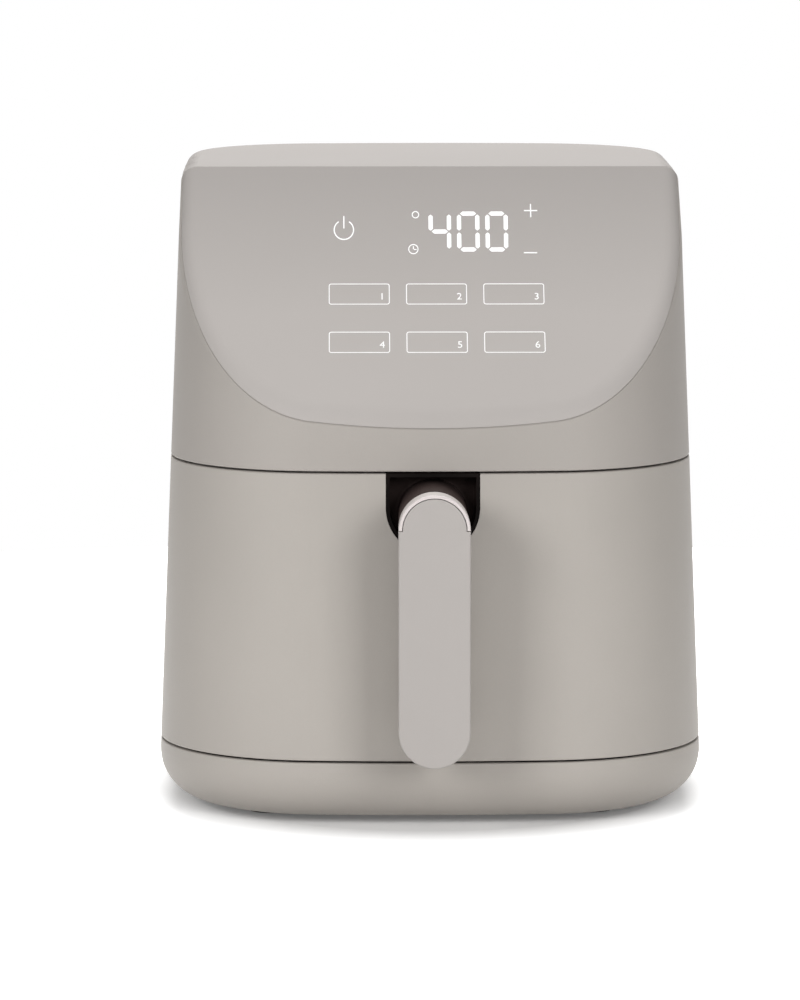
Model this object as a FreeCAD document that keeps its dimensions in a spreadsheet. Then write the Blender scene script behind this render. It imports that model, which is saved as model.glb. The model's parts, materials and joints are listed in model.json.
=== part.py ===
"""Basket air fryer: a tapered moulded body with a sloped touch panel, a drawer with an upright handle,
a deep-drawn pan with a lift-out tray, and the heater, fan and motor above it.

Millimetres, +Z up, front towards -Y. The pieces are drawn about the body's own upright axis. Each finished
piece is then shifted so that the origin is the middle of the whole object's box, on the surface it stands on.
"""
import FreeCAD
import Part
import math
import os
import re
import Sketcher
from FreeCAD import Placement, Rotation, Vector

SIZES = {
    # Moulded body
    "body_width": 272,
    "body_depth": 286,
    "total_height": 319,
    "taper": 2.3,
    "front_bow": 735,
    "side_bow": 4000,
    "corner_radius": 83,
    "base_round": 24,
    "top_round": 8,
    "wall": 2.8,
    # Seams and fits
    "seam": 1.0,
    "cover_seam": 0.5,
    "lower_seam": 34.1,
    "upper_seam": 176.3,
    "fit_gap": 0.3,
    "slide_gap": 1.2,
    "shaft_gap": 0.05,
    "seam_round": 0.8,
    # Reach of the solids that cut others
    "overrun": 20,
    "through": 1,
    "end_flat": 0.1,
    # Top cover with the sloped panel
    "panel_rise": 27.7,
    "panel_setback": 91.7,
    "panel_round_low": 14,
    "panel_round_high": 7,
    "cover_thick": 3.5,
    "lip_depth": 5,
    "lip_thick": 1.8,
    # Base
    "foot_height": 4,
    "foot_radius": 11,
    "foot_draft": 2,
    "foot_stem": 3,
    "foot_barb": 1.5,
    "foot_barb_high": 2,
    "foot_x": 80,
    "foot_y": 82,
    "deck_thick": 2.5,
    "deck_back_gap": 8,
    "vent_length": 60,
    "vent_width": 4,
    "vent_pitch": 12,
    "vent_count": 7,
    # Screws
    "screw_radius": 1.6,
    "screw_head": 3.2,
    "screw_head_high": 1.8,
    "boss_radius": 4.5,
    "base_screw_x": 92,
    "base_screw_y": 40,
    "panel_screw_x": 72,
    "panel_screw_low": 62,
    "panel_screw_high": 150,
    "panel_screw_bite": 8,
    "panel_screw_sink": 0.1,
    "bore_spare": 2,
    # Front frame and drawer
    "drawer_wrap": 100,
    "frame_set": 88,
    "frame_thick": 2.5,
    "frame_gap": 1.5,
    "nose_thick": 2.2,
    "nose_overlap": 12,
    "opening_gap": 1.5,
    "opening_rise": 3,
    "opening_corner": 6,
    "inner_panel_thick": 2.5,
    # Handle
    "handle_width": 34.6,
    "handle_low": 38.8,
    "handle_high": 171.8,
    "handle_reach": 44,
    "handle_depth": 18,
    "handle_round": 5,
    "handle_cover_depth": 3,
    "handle_seam": 0.4,
    "handle_key_half": 6,
    "handle_key_rise": 30,
    "trim_top": 1.5,
    "trim_side": 1.6,
    "trim_drop": 17.2,
    "handle_edge": 0.8,
    "recess_side": 5.45,
    "recess_straight": 16.6,
    "recess_depth": 24,
    "recess_wall": 1.6,
    "neck_inset": 0.5,
    "neck_straight": 0.7,
    "handle_screw_drop": 10.8,
    "handle_screw_pitch": 15,
    "handle_screw_bite": 8,
    # Pan and tray
    "pan_width": 218,
    "pan_front": 84,
    "pan_back": 108,
    "pan_floor": 42,
    "pan_top": 164,
    "pan_draft": 3,
    "pan_corner": 45,
    "pan_round": 14,
    "pan_wall": 1.2,
    "rim_width": 2.5,
    "rim_thick": 1.5,
    "pan_bracket_width": 90,
    "pan_bracket_low": 84,
    "pan_bracket_high": 150,
    "pan_bracket_reach": 12,
    "pan_bracket_edge": 12,
    "pan_bracket_rail": 10,
    "pan_bracket_plate": 2,
    "tray_level": 54,
    "tray_thick": 1.5,
    "tray_rim": 8,
    "tray_gap": 2.5,
    "tray_leg_radius": 4,
    "tray_leg_inset": 33.5,
    "tray_slot_width": 6,
    "tray_slot_length": 20,
    "tray_slot_edge": 14,
    "tray_slots_x": 9,
    "tray_slots_y": 5,
    "tray_finger_hole": 11,
    "bumper_length": 16,
    "bumper_high": 7,
    # Cooking chamber
    "chamber_gap": 5.5,
    "chamber_back_gap": 8,
    "chamber_corner": 44,
    "chamber_top": 176,
    "sheet": 1.0,
    "runner_x": 70,
    "runner_width": 12,
    # Heater
    "hood_margin": 18.5,
    "hood_flange_width": 4,
    "hood_top": 234,
    "hood_corner": 10,
    "hood_shaft_hole": 6,
    "roof_lip": 4,
    "coil_tube": 6.5,
    "coil_inset": 8,
    "coil_spacing": 13,
    "coil_half_turns": 2,
    "coil_level": 194,
    "coil_bend": 12,
    "coil_leg_top": 248,
    "bushing_radius": 6,
    "bushing_high": 5,
    "bushing_collar": 2,
    "bushing_tail": 2,
    "heater_bracket_width": 9,
    "heater_bracket_inner": 42,
    "heater_bracket_gap": 5,
    "heater_bracket_thick": 2,
    "guard_wire": 2.4,
    "guard_ring_inner": 30,
    "guard_ring_middle": 59,
    # Motor and fans
    "shaft_radius": 4,
    "shaft_low": 203,
    "shaft_high": 300,
    "nut_low": 205,
    "nut_high": 211,
    "nut_radius": 6.5,
    "fan_gap": 22,
    "fan_low": 211,
    "fan_disc": 226,
    "fan_disc_thick": 1.5,
    "fan_hub": 9,
    "fan_blades": 12,
    "blade_inner": 34,
    "blade_thick": 1.5,
    "blade_sweep": 12,
    "blade_set": 2,
    "cooler_radius": 46,
    "cooler_disc": 240,
    "cooler_high": 254,
    "cooler_blades": 9,
    "cooler_blade_inner": 20,
    "bracket_level": 258,
    "bracket_width": 70,
    "bracket_gap": 12,
    "bracket_foot": 6,
    "bracket_thick": 2,
    "bracket_hole": 14,
    "motor_radius": 32,
    "motor_high": 36,
    "motor_wall": 3,
    "bearing_radius": 8,
    "bearing_high": 6,
    "stator_inner": 24.8,
    "rotor_radius": 24,
    "rotor_margin": 2,
    "bearing_shelf": 0.5,
    # Exhaust and cord inlet at the back
    "duct_width": 76,
    "duct_low": 194,
    "duct_high": 224,
    "duct_wall": 1.2,
    "duct_lip": 2,
    "grille_width": 92,
    "grille_low": 187,
    "grille_high": 231,
    "grille_slot": 3.2,
    "grille_pitch": 6.4,
    "grille_margin": 6,
    "grille_count": 6,
    "gland_reach": 3.5,
    "gland_flange": 11,
    "gland_neck": 8.7,
    "gland_bore": 3.75,
    "gland_inner": 4,
    "gland_play": 0.9,
    # Electronics
    "board_thick": 1.6,
    "touch_board_width": 124,
    "touch_board_top": 17,
    "touch_board_bottom": 115,
    "touch_board_corner": 4,
    "touch_gap": 4.5,
    "display_left": -15,
    "display_right": 41,
    "display_top": 23.9,
    "display_bottom": 54.5,
    "touch_pad_radius": 4,
    "key_middle": 2.8,
    "key_pitch": 38.3,
    "key_row_high": 75.9,
    "key_row_low": 104.1,
    "power_key_x": -43.1,
    "power_key_down": 38.1,
    "level_key_x": 49.6,
    "level_key_high": 26.7,
    "level_key_low": 51.8,
    "power_board_width": 110,
    "power_board_low": 50,
    "power_board_high": 150,
    "power_board_corner": 3,
    "capacitor_radius": 5,
    "capacitor_length": 12,
    "capacitor_up": 36,
    "capacitor_left": -32,
    "capacitor_right": -18,
    "standoff_high": 5,
    "standoff_radius": 3,
    "standoff_inset": 8,
    # Sensors and drawer switch
    "probe_radius": 2.5,
    "probe_length": 26,
    "probe_x": 102,
    "probe_y": -72,
    "probe_drop": 12,
    "probe_flange": 6,
    "probe_flange_thick": 2,
    "fuse_radius": 4,
    "fuse_length": 16,
    "fuse_y": 60,
    "fuse_clip_half": 8,
    "fuse_clip_thick": 2,
    "switch_thick": 6,
    "switch_deep": 11,
    "switch_high": 20,
    "switch_level": 60,
    "switch_back": 1.5,
    "plunger_radius": 1.5,
    "plunger_length": 8.7,
}

# Parts on the power board: middle across, middle above the board's foot, width, height and depth
COMPONENTS = {
    "transformer": (-28, 68, 32, 28, 11),
    "relay": (27, 69, 26, 18, 10),
    "terminal": (0, 14, 60, 12, 9),
    "rectifier": (27, 37, 14, 10, 6),
}
for component, component_sizes in COMPONENTS.items():
    for side, component_size in zip(("across", "up", "wide", "tall", "deep"), component_sizes):
        SIZES[f"{component}_{side}"] = component_size

# Places that follow from the sizes
DERIVED = {
    "half_width": "body_width / 2",
    "half_depth": "body_depth / 2",
    "axis_shift": "(handle_reach - gland_reach) / 2",
    "round_top": "foot_height + base_round",
    "floor_top": "foot_height + wall",
    "base_top": "lower_seam - seam / 2",
    "drawer_low": "lower_seam + seam / 2",
    "drawer_high": "upper_seam - seam / 2",
    "band_low": "upper_seam + seam / 2",
    "wrap_end": "-half_depth + drawer_wrap",
    "panel_foot": "upper_seam + panel_rise",
    "panel_front": "-half_depth + (panel_foot - round_top) * tan(taper)",
    "panel_back": "panel_front + panel_setback",
    "panel_slope": "panel_setback / (total_height - panel_foot)",
    "panel_tilt": "atan((total_height - panel_foot) / panel_setback)",
    "frame_front": "-frame_set",
    "frame_back": "frame_front + frame_thick",
    "inner_panel_back": "frame_front - frame_gap",
    "inner_panel_front": "inner_panel_back - inner_panel_thick",
    "nose_inset": "wall + slide_gap",
    "soffit_low": "band_low + wall",
    "handle_front": "-half_depth - handle_reach",
    "handle_back": "handle_front + handle_depth",
    "handle_split": "handle_front + handle_cover_depth",
    "handle_radius": "handle_width / 2",
    "trim_end": "handle_high - trim_drop",
    "handle_screw_high": "handle_high - handle_screw_drop",
    "handle_screw_low": "handle_screw_high - handle_screw_pitch",
    "recess_width": "handle_width + 2 * recess_side",
    "recess_low": "min(drawer_high - recess_straight - recess_width / 2; neck_low - fit_gap)",
    "recess_back": "-half_depth + recess_depth",
    "neck_radius": "handle_radius - neck_inset",
    "neck_high": "handle_high - neck_inset",
    "neck_low": "neck_high - 2 * neck_radius - neck_straight",
    "fan_axis": "(pan_back - pan_front) / 2",
    "pan_lean": "tan(pan_draft)",
    "chamber_half": "pan_width / 2 + chamber_gap",
    "chamber_back": "pan_back + chamber_back_gap",
    "hood_flange": "chamber_half - hood_margin",
    "hood_radius": "hood_flange - hood_flange_width",
    "roof_opening": "hood_radius - roof_lip",
    "coil_outer": "roof_opening - coil_inset",
    "heater_bracket_outer": "hood_radius - heater_bracket_gap",
    "fan_radius": "hood_radius - fan_gap",
    "bracket_half": "hood_flange + bracket_gap",
    "roof_top": "chamber_top + sheet",
    "floor_plate_top": "base_top + sheet",
    "tray_drop": "(pan_top - tray_level) * pan_lean + pan_wall + tray_gap",
    "tray_half": "pan_width / 2 - tray_drop",
    "tray_front": "-pan_front + tray_drop",
    "tray_back": "pan_back - tray_drop",
    "tray_middle": "(tray_front + tray_back) / 2",
    "tray_top": "tray_level + tray_thick",
    "tray_corner": "pan_corner - tray_drop",
    "tray_leg_x": "tray_half - tray_leg_inset",
    "tray_leg_y": "tray_back - tray_middle - tray_leg_inset",
    "tray_slot_half": "tray_slot_length / 2",
    "tray_slot_x": "tray_half - tray_slot_edge - tray_slot_half",
    "tray_slot_y": "tray_back - tray_middle - tray_slot_edge - tray_slot_half",
    "tray_slot_pitch_x": "2 * tray_slot_x / (tray_slots_x - 1)",
    "tray_slot_pitch_y": "2 * tray_slot_y / (tray_slots_y - 1)",
    "motor_low": "bracket_level + bracket_thick",
    "motor_top": "motor_low + motor_high",
    "touch_face": "-cover_thick",
    "touch_top": "touch_face - touch_gap",
    "power_board_front": "chamber_back + sheet + standoff_high",
    "power_board_back": "power_board_front + board_thick",
    "switch_left": "chamber_half + 2 * sheet",
    "plunger_tip": "inner_panel_back + fit_gap",
}

doc = FreeCAD.newDocument("AirFryer")
sheet = doc.addObject("Spreadsheet::Sheet", "Sizes")
for row, (name, size) in enumerate(SIZES.items(), 1):
    sheet.set(f"A{row}", name)
    sheet.set(f"B{row}", str(size))
    sheet.setAlias(f"B{row}", name)
doc.recompute()
probe = doc.addObject("App::FeaturePython", "Probe")
pieces = []


def bound(words):
    """The expression with every size written as its cell of the sheet."""
    def swap(found):
        name = found[0]
        if name in SIZES:
            return f"Sizes.{name}"
        if name in DERIVED:
            return f"({bound(DERIVED[name])})"
        return name
    return re.sub(r"[a-z]\w*", swap, words)


def value(words):
    """The expression's present number."""
    result = probe.evalExpression(bound(words))
    return float(getattr(result, "Value", result))


# Sketch helpers


def measure(sketch, kind, where, words):
    """Adds a dimension to the sketch and ties it to the sizes."""
    index = sketch.addConstraint(Sketcher.Constraint(kind, *where, value(words)))
    sketch.setExpression(f"Constraints[{index}]", bound(words))


def anchor(sketch, geometry, point, across=None, up=None):
    """Ties a point of the sketch to its distances from the sketch's origin."""
    for kind, axis, words in (("DistanceX", -2, across), ("DistanceY", -1, up)):
        if words is None:
            continue
        distance = value(words)
        if abs(distance) < 1e-9:
            sketch.addConstraint(Sketcher.Constraint("PointOnObject", geometry, point, axis))
        elif distance > 0:
            measure(sketch, kind, (-1, 1, geometry, point), words)
        else:
            measure(sketch, kind, (geometry, point, -1, 1), f"-({words})")


def arc(centre, radius, start, end):
    """A counter-clockwise arc between two angles in degrees."""
    circle_line = Part.Circle(centre, Vector(0, 0, 1), radius)
    return Part.ArcOfCircle(circle_line, math.radians(start), math.radians(end))


def polygon(sketch, corners):
    """A closed outline of straight lines, each corner tied to the sizes."""
    first = sketch.GeometryCount
    points = [Vector(value(across), value(up), 0) for across, up in corners]
    count = len(points)
    for index in range(count):
        sketch.addGeometry(Part.LineSegment(points[index], points[(index + 1) % count]), False)
    for index in range(count):
        after = first + (index + 1) % count
        sketch.addConstraint(Sketcher.Constraint("Coincident", first + index, 2, after, 1))
    for index, (across, up) in enumerate(corners):
        anchor(sketch, first + index, 1, across, up)


def rectangle(sketch, left, low, right, high):
    """An upright rectangle."""
    polygon(sketch, [(left, low), (right, low), (right, high), (left, high)])


def circle(sketch, across, up, radius):
    """A full circle."""
    centre = Vector(value(across), value(up), 0)
    index = sketch.addGeometry(Part.Circle(centre, Vector(0, 0, 1), value(radius)), False)
    measure(sketch, "Radius", (index,), radius)
    anchor(sketch, index, 3, across, up)


def rounded_rectangle(sketch, left, low, right, high, radius):
    """A rectangle with four equal round corners."""
    x0, y0, x1, y1, r = (value(words) for words in (left, low, right, high, radius))
    corners = [(x1 - r, y0 + r, 270), (x1 - r, y1 - r, 0), (x0 + r, y1 - r, 90), (x0 + r, y0 + r, 180)]
    arcs = [arc(Vector(x, y, 0), r, start, start + 90) for x, y, start in corners]
    for index in range(4):
        sketch.addGeometry(Part.LineSegment(arcs[index - 1].EndPoint, arcs[index].StartPoint), False)
        sketch.addGeometry(arcs[index], False)
    for index in range(8):
        sketch.addConstraint(Sketcher.Constraint("Tangent", index, 2, (index + 1) % 8, 1))
    for index in (1, 3, 5, 7):
        measure(sketch, "Radius", (index,), radius)
    for index, kind in ((0, "Horizontal"), (2, "Vertical"), (4, "Horizontal"), (6, "Vertical")):
        sketch.addConstraint(Sketcher.Constraint(kind, index))
    anchor(sketch, 0, 1, up=low)
    anchor(sketch, 2, 1, across=right)
    anchor(sketch, 4, 1, up=high)
    anchor(sketch, 6, 1, across=left)


def stadium(sketch, across, low, high, radius):
    """An upright slot with round ends."""
    x, z0, z1, r = (value(words) for words in (across, low, high, radius))
    lower = arc(Vector(x, z0 + r, 0), r, 180, 360)
    upper = arc(Vector(x, z1 - r, 0), r, 0, 180)
    sketch.addGeometry(lower, False)
    sketch.addGeometry(Part.LineSegment(lower.EndPoint, upper.StartPoint), False)
    sketch.addGeometry(upper, False)
    sketch.addGeometry(Part.LineSegment(upper.EndPoint, lower.StartPoint), False)
    for index in range(4):
        sketch.addConstraint(Sketcher.Constraint("Tangent", index, 2, (index + 1) % 4, 1))
    for index in (1, 3):
        sketch.addConstraint(Sketcher.Constraint("Vertical", index))
    measure(sketch, "Radius", (0,), radius)
    anchor(sketch, 0, 3, across, f"{low} + {radius}")
    anchor(sketch, 2, 3, up=f"{high} - ({radius})")


def cup_outline(sketch, low, high, radius):
    """A U: a half circle below, upright sides and a straight top."""
    z0, z1, r = (value(words) for words in (low, high, radius))
    lower = arc(Vector(0, z0 + r, 0), r, 180, 360)
    right = Vector(r, z1, 0)
    left = Vector(-r, z1, 0)
    sketch.addGeometry(lower, False)
    sketch.addGeometry(Part.LineSegment(lower.EndPoint, right), False)
    sketch.addGeometry(Part.LineSegment(right, left), False)
    sketch.addGeometry(Part.LineSegment(left, lower.StartPoint), False)
    for index, kind in enumerate(("Tangent", "Coincident", "Coincident", "Tangent")):
        sketch.addConstraint(Sketcher.Constraint(kind, index, 2, (index + 1) % 4, 1))
    for index, kind in ((1, "Vertical"), (2, "Horizontal"), (3, "Vertical")):
        sketch.addConstraint(Sketcher.Constraint(kind, index))
    measure(sketch, "Radius", (0,), radius)
    anchor(sketch, 0, 3, "0", f"{low} + {radius}")
    anchor(sketch, 1, 2, up=high)


def body_outline(sketch, inset):
    """The body's plan: bowed front, sides and back, joined by round corners, all inset alike."""
    reach = f"half_width + base_round * tan(taper) - ({inset})"
    depth = f"half_depth + base_round * tan(taper) - ({inset})"
    bow = f"front_bow - ({inset})"
    flank = f"side_bow - ({inset})"
    corner = f"corner_radius - ({inset})"
    a, b, big, side, small = (value(words) for words in (reach, depth, bow, flank, corner))
    front_centre = Vector(0, big - b, 0)
    side_centre = Vector(a - side, 0, 0)
    apart = (side_centre - front_centre).Length
    along = ((big - small) ** 2 - (side - small) ** 2 + apart ** 2) / (2 * apart)
    rise = math.sqrt((big - small) ** 2 - along ** 2)
    way = (side_centre - front_centre).normalize()
    across = Vector(-way.y, way.x, 0)
    centres = [front_centre + way * along + across * rise, front_centre + way * along - across * rise]
    centre = next(point for point in centres if point.x > 0 and point.y < 0)
    on_front = front_centre + (centre - front_centre).normalize() * big
    on_side = side_centre + (centre - side_centre).normalize() * side
    corner_to_front = math.degrees(math.atan2(on_front.y - centre.y, on_front.x - centre.x))
    corner_to_side = math.degrees(math.atan2(on_side.y - centre.y, on_side.x - centre.x))
    bow_turn = math.degrees(math.asin(on_front.x / big))
    side_turn = math.degrees(math.asin(-on_side.y / side))
    arcs = []
    for flip in (1, -1):
        turn = 0 if flip == 1 else 180
        arcs.append(arc(front_centre * flip, big, 270 - bow_turn + turn, 270 + bow_turn + turn))
        arcs.append(arc(centre * flip, small, corner_to_front + turn, corner_to_side + turn))
        arcs.append(arc(side_centre * flip, side, turn - side_turn, turn + side_turn))
        mirrored = Vector(centre.x, -centre.y, 0) * flip
        arcs.append(arc(mirrored, small, turn - corner_to_side, turn - corner_to_front))
    for piece in arcs:
        sketch.addGeometry(piece, False)
    for index in range(8):
        sketch.addConstraint(Sketcher.Constraint("Tangent", index, 2, (index + 1) % 8, 1))
    for index, words in enumerate((bow, corner, flank, corner) * 2):
        measure(sketch, "Radius", (index,), words)
    anchor(sketch, 0, 3, "0", f"{bow} - ({depth})")
    anchor(sketch, 4, 3, "0", f"{depth} - ({bow})")
    anchor(sketch, 2, 3, f"{reach} - ({flank})", "0")
    anchor(sketch, 6, 3, f"{flank} - ({reach})", "0")


# Solid helpers


def sketch_on(body, role, offset="0"):
    """An empty sketch on one of the body's own planes, moved along the plane's normal."""
    plane = next(item for item in body.Origin.OriginFeatures if item.Role == role)
    sketch = body.newObject("Sketcher::SketchObject", f"{body.Name}_outline")
    sketch.AttachmentSupport = (plane, [""])
    sketch.MapMode = "FlatFace"
    sketch.setExpression("AttachmentOffset.Base.z", bound(offset))
    return sketch


def padded(name, role, start, length, draw, taper="0"):
    """A body padded from an outline that draw puts in its sketch."""
    body = doc.addObject("PartDesign::Body", name)
    sketch = sketch_on(body, role, start)
    draw(sketch)
    pad = body.newObject("PartDesign::Pad", f"{name}_pad")
    pad.Profile = sketch
    pad.setExpression("Length", bound(length))
    pad.setExpression("TaperAngle", bound(taper))
    return body


def upright(name, low, high, draw, taper="0"):
    """A pad that stands between two heights."""
    return padded(name, "XY_Plane", low, f"{high} - ({low})", draw, taper)


def forward(name, front, back, draw):
    """A pad drawn in front view, between a front and a back place along Y."""
    return padded(name, "XZ_Plane", f"-({back})", f"{back} - ({front})", draw)


def sideways(name, half, corners):
    """A pad of a side-view polygon, as wide on the left as on the right."""
    return padded(name, "YZ_Plane", f"-({half})", f"2 * ({half})", lambda s: polygon(s, corners))


def block(name, left, right, front, back, low, high):
    """A straight block between six faces."""
    return upright(name, low, high, lambda s: rectangle(s, left, front, right, back))


def rod(name, across, front, radius, low, high):
    """An upright round rod."""
    return upright(name, low, high, lambda s: circle(s, across, front, radius))


def turned(name, corners):
    """A body turned about its own upright axis from a polygon of radius and height."""
    body = doc.addObject("PartDesign::Body", name)
    sketch = sketch_on(body, "XZ_Plane")
    polygon(sketch, corners)
    turn = body.newObject("PartDesign::Revolution", f"{name}_turn")
    turn.Profile = sketch
    turn.ReferenceAxis = (sketch, ["V_Axis"])
    turn.Angle = 360
    return body


def rounded(body, radius, choose):
    """Rounds the edges of the body that choose picks."""
    doc.recompute()
    tip = body.Tip
    names = [f"Edge{index}" for index, edge in enumerate(tip.Shape.Edges, 1) if choose(edge)]
    fillet = body.newObject("PartDesign::Fillet", f"{body.Name}_round")
    fillet.Base = (tip, names)
    fillet.setExpression("Radius", bound(radius))
    return body


def softened(name, solid, radius, choose):
    """Rounds the edges of a finished solid that choose picks."""
    doc.recompute()
    size = value(radius)
    fillet = doc.addObject("Part::Fillet", name)
    fillet.Base = solid
    edges = enumerate(solid.Shape.Edges, 1)
    fillet.Edges = [(index, size, size) for index, edge in edges if choose(edge.BoundBox)]
    return fillet


def polar(body, count):
    """Repeats the body's last feature round the sketch's normal."""
    doc.recompute()
    tip = body.Tip
    pattern = body.newObject("PartDesign::PolarPattern", f"{body.Name}_ring")
    pattern.Originals = [tip]
    pattern.Axis = (tip.Profile[0], ["N_Axis"])
    pattern.Angle = 360
    pattern.setExpression("Occurrences", bound(count))
    body.Tip = pattern
    return body


def grid(body, pitch_x, count_x, pitch_y, count_y):
    """Repeats the body's last feature in rows and columns."""
    doc.recompute()
    tip = body.Tip
    pattern = body.newObject("PartDesign::LinearPattern", f"{body.Name}_grid")
    pattern.Originals = [tip]
    pattern.Direction = (tip.Profile[0], ["H_Axis"])
    pattern.setExpression("Length", bound(f"{pitch_x} * ({count_x} - 1)"))
    pattern.setExpression("Occurrences", bound(count_x))
    pattern.Direction2 = (tip.Profile[0], ["V_Axis"])
    pattern.setExpression("Length2", bound(f"{pitch_y} * ({count_y} - 1)"))
    pattern.setExpression("Occurrences2", bound(count_y))
    body.Tip = pattern
    return body


def fuse(name, *solids):
    """Several solids as one."""
    joined = doc.addObject("Part::MultiFuse", name)
    joined.Shapes = list(solids)
    return joined


def cut(name, base, *tools):
    """The base without the tools."""
    result = doc.addObject("Part::Cut", name)
    result.Base = base
    result.Tool = tools[0] if len(tools) == 1 else fuse(f"{name}_tools", *tools)
    return result


def common(name, base, tool):
    """What two solids share."""
    result = doc.addObject("Part::Common", name)
    result.Base = base
    result.Tool = tool
    return result


def group(name, *solids):
    """Separate solids kept together as one node."""
    result = doc.addObject("Part::Compound", name)
    result.Links = list(solids)
    return result


def finish(label, piece, back="0"):
    """Names a finished piece and shifts it from the body's axis to the object's origin."""
    piece.Label = label
    piece.setExpression("Placement.Base.y", bound(f"axis_shift + {back}"))
    pieces.append(piece)


def lay_on_panel(body):
    """Turns a body drawn flat onto the sloped panel, its origin at the panel's top edge."""
    body.Placement = Placement(Vector(), Rotation(Vector(1, 0, 0), 45))
    body.setExpression("Placement.Rotation.Angle", bound("panel_tilt"))
    body.setExpression("Placement.Base.y", bound("panel_back"))
    body.setExpression("Placement.Base.z", bound("total_height"))
    return body


def screw(name, across, head, tip, up):
    """A screw along Y, with its head at the back."""
    shank = forward(f"{name}_shank", tip, head, lambda s: circle(s, across, up, "screw_radius"))
    cap = forward(
        f"{name}_cap", head, f"{head} + screw_head_high", lambda s: circle(s, across, up, "screw_head"))
    return fuse(name, shank, cap)


# Body envelopes


def envelope(name, inset):
    """The whole tapered body without its panel, inset all round and below."""
    low = f"foot_height + {inset}"
    grown = f"({inset}) * (1 + tan(taper))"
    body = upright(name, low, "total_height", lambda s: body_outline(s, grown), "-taper")
    return rounded(body, f"base_round - ({inset})", lambda edge: edge.BoundBox.ZMax < value(low) + 0.01)


def panel_profile(depth, top):
    """Side-view corners of all that lies outside the panel and the top, sunk by a depth."""
    sunk = f"({depth}) / sin(panel_tilt)"
    low_y = f"panel_front + {sunk} - panel_slope * 2 * overrun"
    high_y = f"panel_front + {sunk} + panel_slope * (total_height - panel_foot - ({top}))"
    return [
        (low_y, "panel_foot - 2 * overrun"),
        (high_y, f"total_height - ({top})"),
        ("half_depth + overrun", f"total_height - ({top})"),
        ("half_depth + overrun", "total_height + overrun"),
        ("-half_depth - 3 * overrun", "total_height + overrun"),
        ("-half_depth - 3 * overrun", "panel_foot - 2 * overrun"),
    ]


def rounded_panel(solid):
    """Rolls the panel's edge over into the walls, wide at its foot and tight at its top."""
    doc.recompute()
    low = value("panel_foot")
    high = value("total_height")
    wide = value("panel_round_low")
    tight = value("panel_round_high")
    normal = Vector(0, -(high - low), value("panel_setback")).normalize()
    panel = next(face for face in solid.Shape.Faces if face.normalAt(0, 0).dot(normal) > 0.999)
    edges = []
    for index, edge in enumerate(solid.Shape.Edges, 1):
        on_top = edge.BoundBox.ZMin > high - 0.1
        on_panel = any(edge.isSame(other) for other in panel.Edges)
        if on_top and not on_panel:
            edges.append((index, value("top_round"), value("top_round")))
        if on_panel and not on_top:
            heights = [vertex.Point.z for vertex in edge.Vertexes]
            edges.append((index, *(wide + (tight - wide) * (z - low) / (high - low) for z in heights)))
    fillet = doc.addObject("Part::Fillet", "hull")
    fillet.Base = solid
    fillet.Edges = edges
    return fillet


wide_half = "half_width + 2 * overrun"
across_all = f"-({wide_half})", wide_half
ahead_of_all = "-half_depth - overrun"
behind_all = "half_depth + overrun"
full = envelope("full_body", "0")
hollow = envelope("hollow_body", "wall")
panel_off = sideways("panel_off", wide_half, panel_profile("0", "0"))
hull = rounded_panel(cut("sloped_body", full, panel_off))
fitted = envelope("fitted_body", "wall + fit_gap")


def level(box, words):
    """Whether an edge lies flat at a height."""
    return abs(box.ZMin - value(words)) < 0.01 and abs(box.ZMax - value(words)) < 0.01


def upright_at(box, words):
    """Whether an edge stands in a plane across the body."""
    in_plane = abs(box.YMin - value(words)) < 0.01 and abs(box.YMax - value(words)) < 0.01
    return in_plane and box.ZLength > box.XLength


# Base


def base_screw_places():
    """The four screws under the base, as places across and back."""
    for across in ("base_screw_x", "-base_screw_x"):
        for back in ("base_screw_y", "-base_screw_y"):
            yield across, back


def foot_places():
    """The four feet, as places across and back."""
    for across in ("foot_x", "-foot_x"):
        for back in ("foot_y", "-foot_y"):
            yield across, back


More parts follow.
